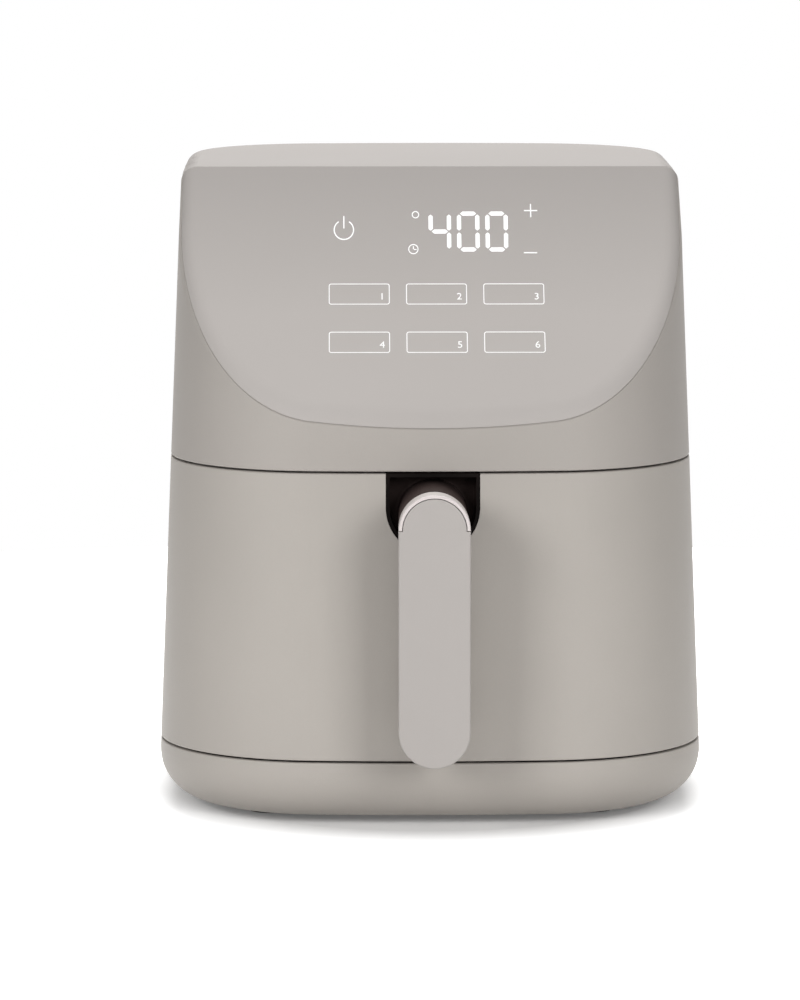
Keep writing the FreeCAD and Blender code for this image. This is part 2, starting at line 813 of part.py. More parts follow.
def make_base():
    """Lower moulding, deck, feet and the screws that hold the deck down."""
    below = block("below_seam", *across_all, ahead_of_all, behind_all, "0", "base_top")
    first = "-vent_pitch * (vent_count - 1) / 2"
    vents = upright(
        "base_vents", "0", "floor_top + through",
        lambda s: rounded_rectangle(
            s, "-vent_length / 2", f"{first} - vent_width / 2", "vent_length / 2",
            f"{first} + vent_width / 2", "vent_width / 2 - end_flat"))
    grid(vents, "vent_length", "1", "vent_pitch", "vent_count")
    stems = [
        rod(f"stem_hole_{n}", across, back, "foot_stem + fit_gap", "0", "floor_top + through")
        for n, (across, back) in enumerate(foot_places())]
    holes = [
        rod(f"base_hole_{n}", across, back, "screw_radius + fit_gap", "0", "floor_top + through")
        for n, (across, back) in enumerate(base_screw_places())]
    blank = common("base_blank", hull, below)
    tub = softened("base_tub", blank, "seam_round", lambda box: level(box, "base_top"))
    finish("base_pan", cut("base_pan", tub, hollow, vents, *stems, *holes, gland_hole("base_gland_hole")))

    plate = common(
        "deck_plate", fitted,
        block("deck_slab", *across_all, ahead_of_all, "half_depth - deck_back_gap", "base_top - deck_thick",
              "base_top"))
    posts = [
        rod(f"deck_post_{n}", across, back, "boss_radius", "floor_top", "base_top")
        for n, (across, back) in enumerate(base_screw_places())]
    bores = [
        rod(f"deck_bore_{n}", across, back, "screw_radius", "floor_top - through", "base_top - deck_thick")
        for n, (across, back) in enumerate(base_screw_places())]
    finish("base_deck", cut("base_deck", fuse("deck_body", plate, *posts), *bores))

    feet = []
    for n, (across, back) in enumerate(foot_places()):
        barb_top = "floor_top + foot_barb_high"
        disc = upright(
            f"foot_disc_{n}", "0", "foot_height", lambda s: circle(s, across, back, "foot_radius"),
            "-foot_draft")
        stem = rod(f"foot_stem_{n}", across, back, "foot_stem", "foot_height", barb_top)
        barb = rod(f"foot_barb_{n}", across, back, "foot_stem + foot_barb", "floor_top", barb_top)
        feet.append(fuse(f"foot_{n}", disc, stem, barb))
    finish("rubber_feet", group("rubber_feet", *feet))

    screws = []
    for n, (across, back) in enumerate(base_screw_places()):
        shank = rod(f"base_shank_{n}", across, back, "screw_radius", "foot_height", "base_top - deck_thick")
        head = rod(
            f"base_head_{n}", across, back, "screw_head", "foot_height - screw_head_high", "foot_height")
        screws.append(fuse(f"base_screw_{n}", shank, head))
    finish("base_screws", group("base_screws", *screws))


# Shell and top cover


def gland_hole(name):
    """The round hole through the back wall that the cord inlet sits in."""
    return forward(
        name, "half_depth - 2 * overrun", behind_all,
        lambda s: circle(s, "0", "lower_seam", "gland_neck + fit_gap"))


def make_shell():
    """Sides, back and front band, open for the drawer, the grille and the cord inlet."""
    below = block("shell_below", *across_all, ahead_of_all, behind_all, "0", "base_top + cover_seam")
    bay = block("drawer_bay", *across_all, ahead_of_all, "wrap_end + seam", "0", "band_low")
    lid = sideways(
        "cover_space", wide_half, panel_profile("cover_thick + cover_seam", "cover_thick + cover_seam"))
    window = block(
        "grille_window", "-grille_width / 2", "grille_width / 2", "0", behind_all, "grille_low",
        "grille_high")

    def on_seam(box):
        return level(box, "band_low") and box.YLength > 1 or upright_at(box, "wrap_end + seam")

    shell = softened("shell_soft", cut("shell_blank", hull, below, bay, lid), "seam_round", on_seam)
    finish("outer_shell", cut("outer_shell", shell, hollow, window, gland_hole("shell_gland_hole")))


def make_cover():
    """Top and sloped panel in one plate, with a lip that drops inside the shell."""
    outside = sideways("cover_outside", wide_half, panel_profile("cover_thick", "cover_thick"))
    plate = common("cover_plate", hull, outside)
    depth = "cover_thick + lip_depth"
    deeper = sideways("lip_outside", wide_half, panel_profile(depth, depth))
    narrower = envelope("lip_inside", "wall + fit_gap + lip_thick")
    ring = cut("lip_ring", common("lip_layer", common("lip_body", fitted, hull), deeper), narrower, outside)
    finish("top_cover", fuse("top_cover", plate, ring))


def make_panel_electronics():
    """Touch board, display and touch pads behind the panel, drawn flat and laid on its slope."""
    board = upright(
        "touch_plate", "touch_top - board_thick", "touch_top",
        lambda s: rounded_rectangle(
            s, "-touch_board_width / 2", "-touch_board_bottom", "touch_board_width / 2", "-touch_board_top",
            "touch_board_corner"))
    display = upright(
        "display_block", "touch_top", "touch_face",
        lambda s: rectangle(s, "display_left", "-display_bottom", "display_right", "-display_top"))
    spots = [("power_key_x", "-power_key_down")]
    spots += [("level_key_x", "-level_key_low"), ("level_key_x", "-level_key_high")]
    for row in ("-key_row_low", "-key_row_high"):
        for across in ("key_middle - key_pitch", "key_middle", "key_middle + key_pitch"):
            spots.append((across, row))
    pads = [
        lay_on_panel(rod(f"touch_pad_{n}", across, up, "touch_pad_radius", "touch_top", "touch_face"))
        for n, (across, up) in enumerate(spots)]
    finish("touch_board", group("touch_board", lay_on_panel(board)))
    finish("display_module", group("display_module", lay_on_panel(display)))
    finish("touch_pads", group("touch_pads", *pads))


# Front frame and cooking chamber


def make_front_frame():
    """Nose of the housing that the drawer front slides over, with the pan's opening and a soffit above."""
    outer = envelope("nose_outer", "nose_inset")
    inner = envelope("nose_inner", "nose_inset + nose_thick")
    zone = block("nose_zone", *across_all, "frame_front", "wrap_end + nose_overlap", "base_top", "soffit_low")
    slab = block("nose_slab", *across_all, "frame_front", "frame_back", "base_top", "soffit_low")
    ledge = block(
        "soffit_zone", *across_all, ahead_of_all, "frame_back", "soffit_low", "soffit_low + frame_thick")
    walls = common("nose_walls", cut("nose_skin", outer, inner), zone)
    front = common("nose_front", outer, slab)
    soffit = common("soffit", fitted, ledge)
    reach = "pan_width / 2 + rim_width + opening_gap"
    opening = forward(
        "pan_opening", "frame_front - overrun", "frame_back + overrun",
        lambda s: rounded_rectangle(
            s, f"-({reach})", "floor_plate_top", reach, "pan_top + opening_rise", "opening_corner"))
    hole = forward(
        "plunger_hole", "frame_front - overrun", "frame_back + overrun",
        lambda s: circle(s, "switch_left + switch_thick / 2", "switch_level", "plunger_radius + fit_gap"))
    finish("front_frame", cut("front_frame", fuse("frame_body", walls, front, soffit), opening, hole))


def make_chamber():
    """Sheet-metal floor, three-sided wrap and roof, with the glides that the pan runs on."""
    outside = "chamber_half + sheet"
    far = "chamber_back + sheet"

    def plan(sketch, half, back, corner):
        rounded_rectangle(sketch, f"-({half})", f"frame_back - 2 * ({corner})", half, back, corner)

    ahead = block("chamber_ahead", *across_all, "-2 * half_depth", "frame_back", "0", "total_height")
    shell = upright("wrap_outer", "floor_plate_top", "chamber_top",
                    lambda s: plan(s, outside, far, "chamber_corner + sheet"))
    space = upright("wrap_inner", "base_top", "roof_top",
                    lambda s: plan(s, "chamber_half", "chamber_back", "chamber_corner"))
    finish("chamber_wrap", cut("chamber_wrap", shell, space, ahead))
    floor = upright("floor_blank", "base_top", "floor_plate_top",
                    lambda s: plan(s, outside, far, "chamber_corner + sheet"))
    finish("chamber_floor", cut("chamber_floor", floor, ahead))
    roof = upright("roof_blank", "chamber_top", "roof_top",
                   lambda s: plan(s, outside, far, "chamber_corner + sheet"))
    opening = rod("roof_hole", "0", "fan_axis", "roof_opening", "chamber_top - through", "roof_top + through")
    sensor = rod(
        "probe_hole", "probe_x", "probe_y", "probe_radius + fit_gap", "chamber_top - through",
        "roof_top + through")
    finish("chamber_roof", cut("chamber_roof", roof, ahead, opening, sensor))
    runners = [
        upright(
            f"runner_{n}", "floor_plate_top", "pan_floor - fit_gap",
            lambda s: rounded_rectangle(
                s, f"{middle} - runner_width / 2", "-pan_front + pan_corner", f"{middle} + runner_width / 2",
                "pan_back - pan_corner", "runner_width / 2 - end_flat"))
        for n, middle in enumerate(("-runner_x", "runner_x"))]
    finish("drawer_runners", group("drawer_runners", *runners))


# Heater


def coil_arm():
    """Half turns of one arm of the coil, from its outer end inwards, each closer by one spacing."""
    spacing = value("coil_spacing")
    place = Vector(value("coil_outer"), 0, 0)
    radius = place.x - spacing / 2
    side = 1
    arcs = []
    for _ in range(int(value("coil_half_turns"))):
        middle = place - Vector(side * radius, 0, 0)
        crest = middle + Vector(0, side * radius, 0)
        place = middle - Vector(side * radius, 0, 0)
        arcs.append((middle + Vector(side * radius, 0, 0), crest, place))
        radius -= spacing
        side = -side
    return arcs, place, side


def coil_path():
    """Middle line of the heating tube: two arms wound together, joined by an S, with two upright legs."""
    bend = value("coil_bend")
    rise = value("coil_leg_top") - value("coil_level")
    arcs, inner, side = coil_arm()
    start = arcs[0][0]
    knee = start + Vector(0, -bend, bend)
    half = start + Vector(0, -bend * math.sin(math.pi / 4), bend * (1 - math.cos(math.pi / 4)))
    tip = Vector(knee.x, knee.y, rise)
    arm = [Part.LineSegment(tip, knee), Part.Arc(knee, half, start)]
    arm += [Part.Arc(*points) for points in arcs]
    arm.append(Part.Arc(inner, inner / 2 + Vector(0, side * abs(inner.x) / 2, 0), Vector()))
    first = [item.toShape() for item in arm]
    second = []
    for edge in first[::-1]:
        turned_edge = edge.copy()
        turned_edge.rotate(Vector(), Vector(0, 0, 1), 180)
        second.append(turned_edge)
    return Part.Wire(first + second), [tip, Vector(-tip.x, -tip.y, tip.z)]


def self_gap(wire, diameter):
    """Least clear gap between turns, measured on points along the middle line."""
    points = wire.discretize(Distance=2.0)
    apart = int(3 * diameter)
    least = min(
        (points[a] - points[b]).Length
        for a in range(len(points)) for b in range(a + apart, len(points)))
    return least - diameter


def make_coil():
    """The heating element as one unbroken tube."""
    wire, tips = coil_path()
    diameter = value("coil_tube")
    top = tips[0]
    section = Part.Wire(Part.makeCircle(diameter / 2, top, Vector(0, 0, 1)))
    tube = Part.Wire(wire.Edges).makePipeShell([section], True, False)
    print(f"heating element: least gap to itself {self_gap(wire, diameter):.2f} mm")
    element = doc.addObject("Part::Feature", "heating_element")
    element.Shape = tube
    element.setExpression("Placement.Base.z", bound("coil_level"))
    finish("heating_element", element, "fan_axis")
    return tips


def make_heater():
    """Hood, coil, bushings, brackets and guard."""
    tips = make_coil()
    skirt = "hood_radius - sheet"
    hood = turned("hood_dish", [
        ("hood_shaft_hole", "hood_top"),
        ("hood_radius - hood_corner", "hood_top"),
        ("hood_radius", "hood_top - hood_corner"),
        ("hood_radius", "roof_top + sheet"),
        ("hood_flange", "roof_top + sheet"),
        ("hood_flange", "roof_top"),
        (skirt, "roof_top"),
        (skirt, "hood_top - hood_corner - sheet * tan(22.5)"),
        ("hood_radius - hood_corner - sheet * tan(22.5)", "hood_top - sheet"),
        ("hood_shaft_hole", "hood_top - sheet"),
    ])
    outlet = block(
        "hood_outlet", "-duct_width / 2 + duct_lip", "duct_width / 2 - duct_lip", "0",
        "hood_radius + overrun", "duct_low + duct_lip", "duct_high - duct_lip")
    holes = []
    bushings = []
    for n, tip in enumerate(tips):
        across, back = (f"{tip.x:.4f}", f"{tip.y:.4f}")
        tail = "hood_top - sheet - bushing_tail"
        holes.append(rod(
            f"bushing_hole_{n}", across, back, "bushing_radius", "hood_top - hood_corner",
            "hood_top + through"))
        collar = rod(
            f"bushing_collar_{n}", across, back, "bushing_radius + bushing_collar", "hood_top",
            "hood_top + bushing_high")
        stem = rod(f"bushing_stem_{n}", across, back, "bushing_radius - shaft_gap", tail, "hood_top")
        bore = rod(
            f"bushing_bore_{n}", across, back, "coil_tube / 2 + shaft_gap", f"{tail} - through",
            "hood_top + bushing_high + through")
        bushings.append(cut(f"bushing_{n}", fuse(f"bushing_body_{n}", collar, stem), bore))
    finish("heater_hood", cut("heater_hood", hood, outlet, *holes), "fan_axis")
    finish("heater_bushings", group("heater_bushings", *bushings), "fan_axis")
    make_heater_brackets()
    make_guard()


def make_heater_brackets():
    """Three straps that hang from the hood and carry the coil."""
    seat = "coil_level + coil_tube / 2 + shaft_gap"
    half = "heater_bracket_width / 2"
    post_out = "hood_radius - hood_corner - through"
    straps = []
    for n, turn in enumerate((30, 150, 270)):
        foot = block(
            f"strap_foot_{n}", "heater_bracket_inner", "heater_bracket_outer", f"-{half}", half, seat,
            f"{seat} + heater_bracket_thick")
        post = block(
            f"strap_post_{n}", f"{post_out} - heater_bracket_thick", post_out, f"-{half}", half, seat,
            "hood_top - sheet")
        strap = fuse(f"strap_{n}", foot, post)
        strap.Placement = Placement(Vector(), Rotation(Vector(0, 0, 1), turn))
        straps.append(strap)
    finish("heater_brackets", group("heater_brackets", *straps), "fan_axis")


def make_guard():
    """Round guard of rings and bars below the coil, resting on the roof round its opening."""
    low = "roof_top"
    high = "roof_top + guard_wire"

    def ring(name, outer):
        inner = f"{outer} - guard_wire"
        return turned(name, [(inner, low), (outer, low), (outer, high), (inner, high)])

    rim = turned("guard_rim", [
        ("roof_opening - guard_wire", low), ("hood_radius - sheet - fit_gap", low),
        ("hood_radius - sheet - fit_gap", high), ("roof_opening - guard_wire", high)])
    rings = [ring("guard_inner", "guard_ring_inner"), ring("guard_middle", "guard_ring_middle")]
    bars = []
    for n, turn in enumerate((0, 60, 120)):
        bar = block(
            f"guard_bar_{n}", "-roof_opening", "roof_opening", "-guard_wire / 2", "guard_wire / 2", low, high)
        bar.Placement = Placement(Vector(), Rotation(Vector(0, 0, 1), turn))
        bars.append(bar)
    finish("heater_guard", fuse("heater_guard", rim, *rings, *bars), "fan_axis")


# Motor and fans


def make_motor():
    """Bridge bracket, motor can, stator and bearings."""
    half = "bracket_half"
    thick = "bracket_thick"
    corners = []
    for sign in ("-", ""):
        side = [
            (f"{sign}({half} + {thick} + bracket_foot)", "roof_top"),
            (f"{sign}({half})", "roof_top"),
            (f"{sign}({half})", "bracket_level"),
        ]
        corners += side if sign else side[::-1]
    for sign in ("", "-"):
        side = [
            (f"{sign}({half} + {thick} + bracket_foot)", f"roof_top + {thick}"),
            (f"{sign}({half} + {thick})", f"roof_top + {thick}"),
            (f"{sign}({half} + {thick})", f"bracket_level + {thick}"),
        ]
        corners += side[::-1] if sign else side
    bridge = forward("bridge", "-bracket_width / 2", "bracket_width / 2", lambda s: polygon(s, corners))
    hole = rod("bridge_hole", "0", "0", "bracket_hole", "bracket_level - through", "motor_low + through")
    finish("motor_bracket", cut("motor_bracket", bridge, hole), "fan_axis")

    seat = "bearing_radius + shaft_gap"
    inside = "motor_radius - motor_wall"
    shelf_low = "motor_low + bearing_high + bearing_shelf"
    shelf_high = "motor_top - bearing_high - bearing_shelf"
    can = turned("motor_housing", [
        (seat, "motor_low"), ("motor_radius", "motor_low"),
        ("motor_radius", "motor_top"), (seat, "motor_top"),
        (seat, shelf_high), (inside, shelf_high), (inside, shelf_low), (seat, shelf_low)])
    finish("motor_housing", can, "fan_axis")
    stator = turned("motor_stator", [
        ("stator_inner", f"{shelf_low} + rotor_margin"),
        (f"{inside} - shaft_gap", f"{shelf_low} + rotor_margin"),
        (f"{inside} - shaft_gap", f"{shelf_high} - rotor_margin"),
        ("stator_inner", f"{shelf_high} - rotor_margin")])
    finish("motor_stator", stator, "fan_axis")
    bearings = []
    for n, low in enumerate(("motor_low", "motor_top - bearing_high")):
        bearings.append(turned(f"bearing_{n}", [
            ("shaft_radius + shaft_gap", low), ("bearing_radius", low),
            ("bearing_radius", f"{low} + bearing_high"),
            ("shaft_radius + shaft_gap", f"{low} + bearing_high")]))
    finish("motor_bearings", group("motor_bearings", *bearings), "fan_axis")

    bore = "shaft_radius + shaft_gap"
    finish("motor_shaft", rod("motor_shaft", "0", "0", "shaft_radius", "shaft_low", "shaft_high"), "fan_axis")
    rotor = turned("motor_rotor", [
        (bore, f"{shelf_low} + rotor_margin"), ("rotor_radius", f"{shelf_low} + rotor_margin"),
        ("rotor_radius", f"{shelf_high} - rotor_margin"), (bore, f"{shelf_high} - rotor_margin")])
    finish("motor_rotor", rotor, "fan_axis")


def blade_ring(name, low, high, inner, radius, count):
    """Swept-back upright blades round the axis, ending just inside the disc's edge."""
    half = "blade_thick / 2"
    back = f"blade_sweep + {half}"
    outer = f"sqrt({radius} * {radius} - ({back}) * ({back})) - through"
    corners = [
        (inner, f"-{half}"), (outer, f"-{half} - blade_sweep"),
        (outer, f"{half} - blade_sweep"), (inner, half)]
    return polar(upright(name, low, high, lambda s: polygon(s, corners)), count)


def make_fans():
    """Hot-air fan below the hood's top, cooling fan above it, and the nut on the shaft's end."""
    bore = "shaft_radius + shaft_gap"
    disc = "fan_disc + fan_disc_thick"
    wheel = turned("fan_wheel", [
        (bore, "fan_low"), ("fan_hub", "fan_low"), ("fan_hub", "fan_disc"), ("fan_radius", "fan_disc"),
        ("fan_radius", disc), (bore, disc)])
    blades = blade_ring("fan_blade", "fan_low + blade_set", disc, "blade_inner", "fan_radius", "fan_blades")
    finish("hot_air_fan", fuse("hot_air_fan", wheel, blades), "fan_axis")
    cool_disc = "cooler_disc + fan_disc_thick"
    cooler = turned("cooler_wheel", [
        (bore, "cooler_disc"), ("cooler_radius", "cooler_disc"), ("cooler_radius", cool_disc),
        ("fan_hub", cool_disc), ("fan_hub", "cooler_high"), (bore, "cooler_high")])
    blades = blade_ring(
        "cooler_blade", "cooler_disc", "cooler_high", "cooler_blade_inner", "cooler_radius", "cooler_blades")
    finish("cooling_fan", fuse("cooling_fan", cooler, blades), "fan_axis")
    sides = [(f"nut_radius * cos({turn})", f"nut_radius * sin({turn})") for turn in range(0, 360, 60)]
    nut = upright("nut_blank", "nut_low", "nut_high", lambda s: polygon(s, sides))
    hole = rod("nut_bore", "0", "0", bore, "nut_low - through", "nut_high + through")
    finish("fan_nut", cut("fan_nut", nut, hole), "fan_axis")


# Back of the housing


def make_back():
    """Exhaust duct, slotted grille and cord inlet."""
    half = "duct_width / 2"
    tube = block("duct_outer", f"-{half}", half, "fan_axis", behind_all, "duct_low", "duct_high")
    bore = block(
        "duct_bore", f"-{half} + duct_wall", f"{half} - duct_wall", "0", f"{behind_all} + through",
        "duct_low + duct_wall", "duct_high - duct_wall")
    drum = rod("hood_drum", "0", "fan_axis", "hood_radius + fit_gap", "roof_top", "hood_top")
    finish("exhaust_duct", cut("exhaust_duct", common("duct_reach", tube, fitted), bore, drum))

    edge = "grille_width / 2 - fit_gap"
    pane = block(
        "grille_pane", f"-({edge})", edge, "0", behind_all, "grille_low + fit_gap", "grille_high - fit_gap")
    first = "(grille_low + grille_high - grille_pitch * (grille_count - 1) - grille_slot) / 2"
    slots = forward(
        "grille_slots", "0", behind_all,
        lambda s: rectangle(s, f"-({edge}) + grille_margin", first, f"{edge} - grille_margin",
                            f"{first} + grille_slot"))
    grid(slots, "grille_width", "1", "grille_pitch", "grille_count")
    finish("rear_grille", cut("rear_grille", common("grille_blank", hull, pane), hollow, slots))

    inner = "half_depth - wall - gland_play"
    outer = "half_depth + fit_gap"
    places = [
        ("inlet_flange", inner, f"{inner} - gland_inner", "gland_flange"),
        ("inlet_neck", outer, inner, "gland_neck"),
        ("inlet_rim", "half_depth + gland_reach", outer, "gland_flange"),
    ]
    rings = [
        forward(name, front, back, lambda s: circle(s, "0", "lower_seam", radius))
        for name, back, front, radius in places]
    bore = forward("inlet_bore", "half_depth - 2 * overrun", behind_all,
                   lambda s: circle(s, "0", "lower_seam", "gland_bore"))
    finish("cord_gland", cut("cord_gland", fuse("inlet_body", *rings), bore))


def make_power_board():
    """Power board on the back of the chamber, with its standoffs and main components."""
    half = "power_board_width / 2"
    board = forward(
        "power_board", "power_board_front", "power_board_back",
        lambda s: rounded_rectangle(
            s, f"-{half}", "power_board_low", half, "power_board_high", "power_board_corner"))
    finish("power_board", board)
    reach = f"{half} - standoff_inset"
    standoffs = [
        forward(f"standoff_{n}", "chamber_back + sheet", "power_board_front",
                lambda s: circle(s, across, up, "standoff_radius"))
        for n, (across, up) in enumerate(
            (f"{sign}({reach})", up) for sign in ("-", "")
            for up in ("power_board_low + standoff_inset", "power_board_high - standoff_inset"))]
    finish("board_standoffs", group("board_standoffs", *standoffs))
    parts = []
    for name in COMPONENTS:
        middle = f"power_board_low + {name}_up"
        parts.append(forward(
            name, "power_board_back", f"power_board_back + {name}_deep",
            lambda s: rectangle(
                s, f"{name}_across - {name}_wide / 2", f"{middle} - {name}_tall / 2",
                f"{name}_across + {name}_wide / 2", f"{middle} + {name}_tall / 2")))
    for across in ("capacitor_left", "capacitor_right"):
        parts.append(forward(
            f"{across}_can", "power_board_back", "power_board_back + capacitor_length",
            lambda s: circle(s, across, "power_board_low + capacitor_up", "capacitor_radius")))
    finish("power_components", group("power_components", *parts))


def make_sensors():
    """Temperature probe in the roof, thermal fuse on the hood and the drawer switch."""
    tip = "roof_top - probe_drop"
    stem = rod("probe_stem", "probe_x", "probe_y", "probe_radius", tip, f"{tip} + probe_length")
    flange = rod(
        "probe_collar", "probe_x", "probe_y", "probe_flange", "roof_top", "roof_top + probe_flange_thick")
    finish("temperature_probe", fuse("temperature_probe", stem, flange))
    barrel = padded(
        "fuse_barrel", "YZ_Plane", "-fuse_length / 2", "fuse_length",
        lambda s: circle(
            s, "fan_axis + fuse_y", "hood_top + fuse_clip_thick + fuse_radius - fit_gap", "fuse_radius"))
    clip = block("fuse_clip", "-fuse_length / 4", "fuse_length / 4", "fan_axis + fuse_y - fuse_clip_half",
                 "fan_axis + fuse_y + fuse_clip_half", "hood_top", "hood_top + fuse_clip_thick")
    finish("thermal_fuse", fuse("thermal_fuse", barrel, clip))

    middle = "switch_left + switch_thick / 2"
    back = "frame_back + switch_deep"
    case = block("switch_case", "switch_left", "switch_left + switch_thick", "frame_back", back,
                 "switch_level - switch_high / 2", "switch_level + switch_high / 2")
    well = forward("switch_well", "frame_back - through", f"{back} - switch_back",
                   lambda s: circle(s, middle, "switch_level", "plunger_radius + fit_gap"))
    finish("switch_body", cut("switch_body", case, well))
    plunger = forward("switch_plunger", "plunger_tip", "plunger_tip + plunger_length",
                      lambda s: circle(s, middle, "switch_level", "plunger_radius"))
    finish("switch_plunger", plunger)


# Drawer


def panel_screw_places():
    """The four screws of the drawer's inner panel, as places across and up."""
    for across in ("panel_screw_x", "-panel_screw_x"):
        for up in ("panel_screw_low", "panel_screw_high"):
            yield across, up


def recess_block(name, front, back, grown):
    """The U-shaped recess of the handle, grown outwards by a margin."""
    return forward(
        name, front, back,
        lambda s: cup_outline(
            s, f"recess_low - ({grown})", f"drawer_high + ({grown})", f"recess_width / 2 + {grown}"))


def make_drawer_front():
    """Moulded drawer front with side legs, flanges, screw bosses and the notch for the handle's cup."""
    zone = block("drawer_zone", *across_all, ahead_of_all, "wrap_end", "drawer_low", "drawer_high")

    def on_seam(box):
        flat = level(box, "drawer_low") or level(box, "drawer_high")
        return flat and box.YLength > 1 or upright_at(box, "wrap_end")

    blank = softened("drawer_soft", common("drawer_blank", hull, zone), "seam_round", on_seam)
    past = "wrap_end + overrun"
    ahead = block("drawer_gap", *across_all, ahead_of_all, past, "drawer_low + wall", "drawer_high - wall")
    behind = block("drawer_nose_gap", *across_all, "inner_panel_front", past, "0", "total_height")
    room = common("drawer_room", hollow, fuse("drawer_room_blocks", ahead, behind))
    bosses = []
    bores = []
    for n, (across, up) in enumerate(panel_screw_places()):
        bosses.append(common(f"drawer_boss_{n}", hull, forward(
            f"drawer_post_{n}", ahead_of_all, "inner_panel_front",
            lambda s: circle(s, across, up, "boss_radius"))))
        bores.append(forward(
            f"drawer_bore_{n}", "inner_panel_front - panel_screw_bite - bore_spare",
            "inner_panel_front + through",
            lambda s: circle(s, across, up, "screw_radius")))
    notch = recess_block("drawer_notch", ahead_of_all, "inner_panel_front - through", "fit_gap")
    moulding = fuse("drawer_moulding", cut("drawer_skin", blank, room), *bosses)
    finish("drawer_front", cut("drawer_front", moulding, notch, *bores))


def make_inner_panel():
    """Flat panel that closes the drawer front and carries the pan, with its screws."""
    slab = block(
        "panel_slab", *across_all, "inner_panel_front", "inner_panel_back", "drawer_low", "drawer_high")
    holes = []
    screws = []
    for n, (across, up) in enumerate(panel_screw_places()):
        seat = "inner_panel_back - screw_head_high - panel_screw_sink"
        holes.append(forward(f"panel_hole_{n}", "inner_panel_front - through", "inner_panel_back + through",
                             lambda s: circle(s, across, up, "screw_radius + fit_gap")))
        holes.append(forward(f"panel_sink_{n}", seat, "inner_panel_back + through",
                             lambda s: circle(s, across, up, "screw_head + fit_gap")))
        screws.append(screw(f"panel_screw_{n}", across, seat, "inner_panel_front - panel_screw_bite", up))
    finish("drawer_inner_panel", cut("drawer_inner_panel", common("panel_blank", fitted, slab), *holes))
    finish("panel_screws", group("panel_screws", *screws))


def make_handle():
    """Cup with its neck, grip shell, horseshoe trim, front cover and the two long screws."""
    cup = common("cup_blank", hull, recess_block("cup_outer", ahead_of_all, "recess_back", "0"))
    space = recess_block(
        "cup_space", f"{ahead_of_all} - through", "recess_back - recess_wall", "-recess_wall")
    neck = forward("neck", "handle_back", "recess_back - recess_wall / 2",
                   lambda s: stadium(s, "0", "neck_low", "neck_high", "neck_radius"))
    bores = []
    bites = []
    screws = []
    tip = "handle_back - handle_screw_bite"
    for n, up in enumerate(("handle_screw_low", "handle_screw_high")):
        bores.append(forward(f"neck_bore_{n}", "handle_back - through", "recess_back + through",
                             lambda s: circle(s, "0", up, "screw_radius + fit_gap")))
        bites.append(forward(f"grip_bore_{n}", tip, "handle_back + through",
                             lambda s: circle(s, "0", up, "screw_radius")))
        screws.append(screw(f"handle_screw_{n}", "0", "recess_back", tip, up))
    finish("handle_bracket", cut("handle_bracket", fuse("cup_neck", cut("cup", cup, space), neck), *bores))
    finish("handle_screws", group("handle_screws", *screws))

    def whole(sketch):
        stadium(sketch, "0", "handle_low", "handle_high", "handle_radius")

    def front_edge(edge):
        return edge.BoundBox.YMax < value("handle_front") + 0.01

    grip = forward("grip", "handle_split", "handle_back", whole)
    rounded(grip, "handle_round", lambda edge: edge.BoundBox.YMin > value("handle_back") - 0.01)
    finish("handle_shell", cut("handle_shell", grip, *bites))

    deep = ("handle_front - through", "handle_split + through")
    wide = ("-handle_width", "handle_width")
    rim = rounded(forward("trim_rim", "handle_front", "handle_split", whole), "handle_edge", front_edge)
    arch = forward(
        "trim_arch", *deep,
        lambda s: stadium(s, "0", "handle_low", "handle_high - trim_top", "handle_radius - trim_side"))
    lower = block("trim_lower", *wide, *deep, "0", "trim_end")
    finish("handle_trim", cut("handle_trim", rim, arch, lower))

    face = ("handle_front", "handle_split - handle_seam")
    plate = rounded(forward("cover_lower", *face, whole), "handle_edge", front_edge)
    top = block("cover_top", *wide, *deep, "trim_end - handle_seam", "total_height")
    tongue = forward(
        "cover_tongue", *face,
        lambda s: stadium(
            s, "0", "handle_low + trim_side + handle_seam", "handle_high - trim_top - handle_seam",
            "handle_radius - trim_side - handle_seam"))
    key = block(
        "cover_key", "-handle_key_half", "handle_key_half", "handle_split - handle_seam", "handle_split",
        "handle_low + handle_key_rise", "trim_end")
    finish("handle_cover", fuse("handle_cover", cut("cover_body", plate, top), tongue, key))


# Pan and tray


def pan_solid(name, inset, low):
    """The pan's drafted block with rounded corners and floor edge, inset by a margin."""
    drop = f"(pan_top - ({low})) * pan_lean + ({inset})"

    def plan(sketch):
        rounded_rectangle(
            sketch, f"-(pan_width / 2 - ({drop}))", f"-(pan_front - ({drop}))", f"pan_width / 2 - ({drop})",
            f"pan_back - ({drop})", f"pan_corner - ({drop})")

    body = upright(name, low, "pan_top", plan, "pan_draft")
    return rounded(body, f"pan_round - ({inset})", lambda edge: edge.BoundBox.ZMax < value(low) + 0.01)


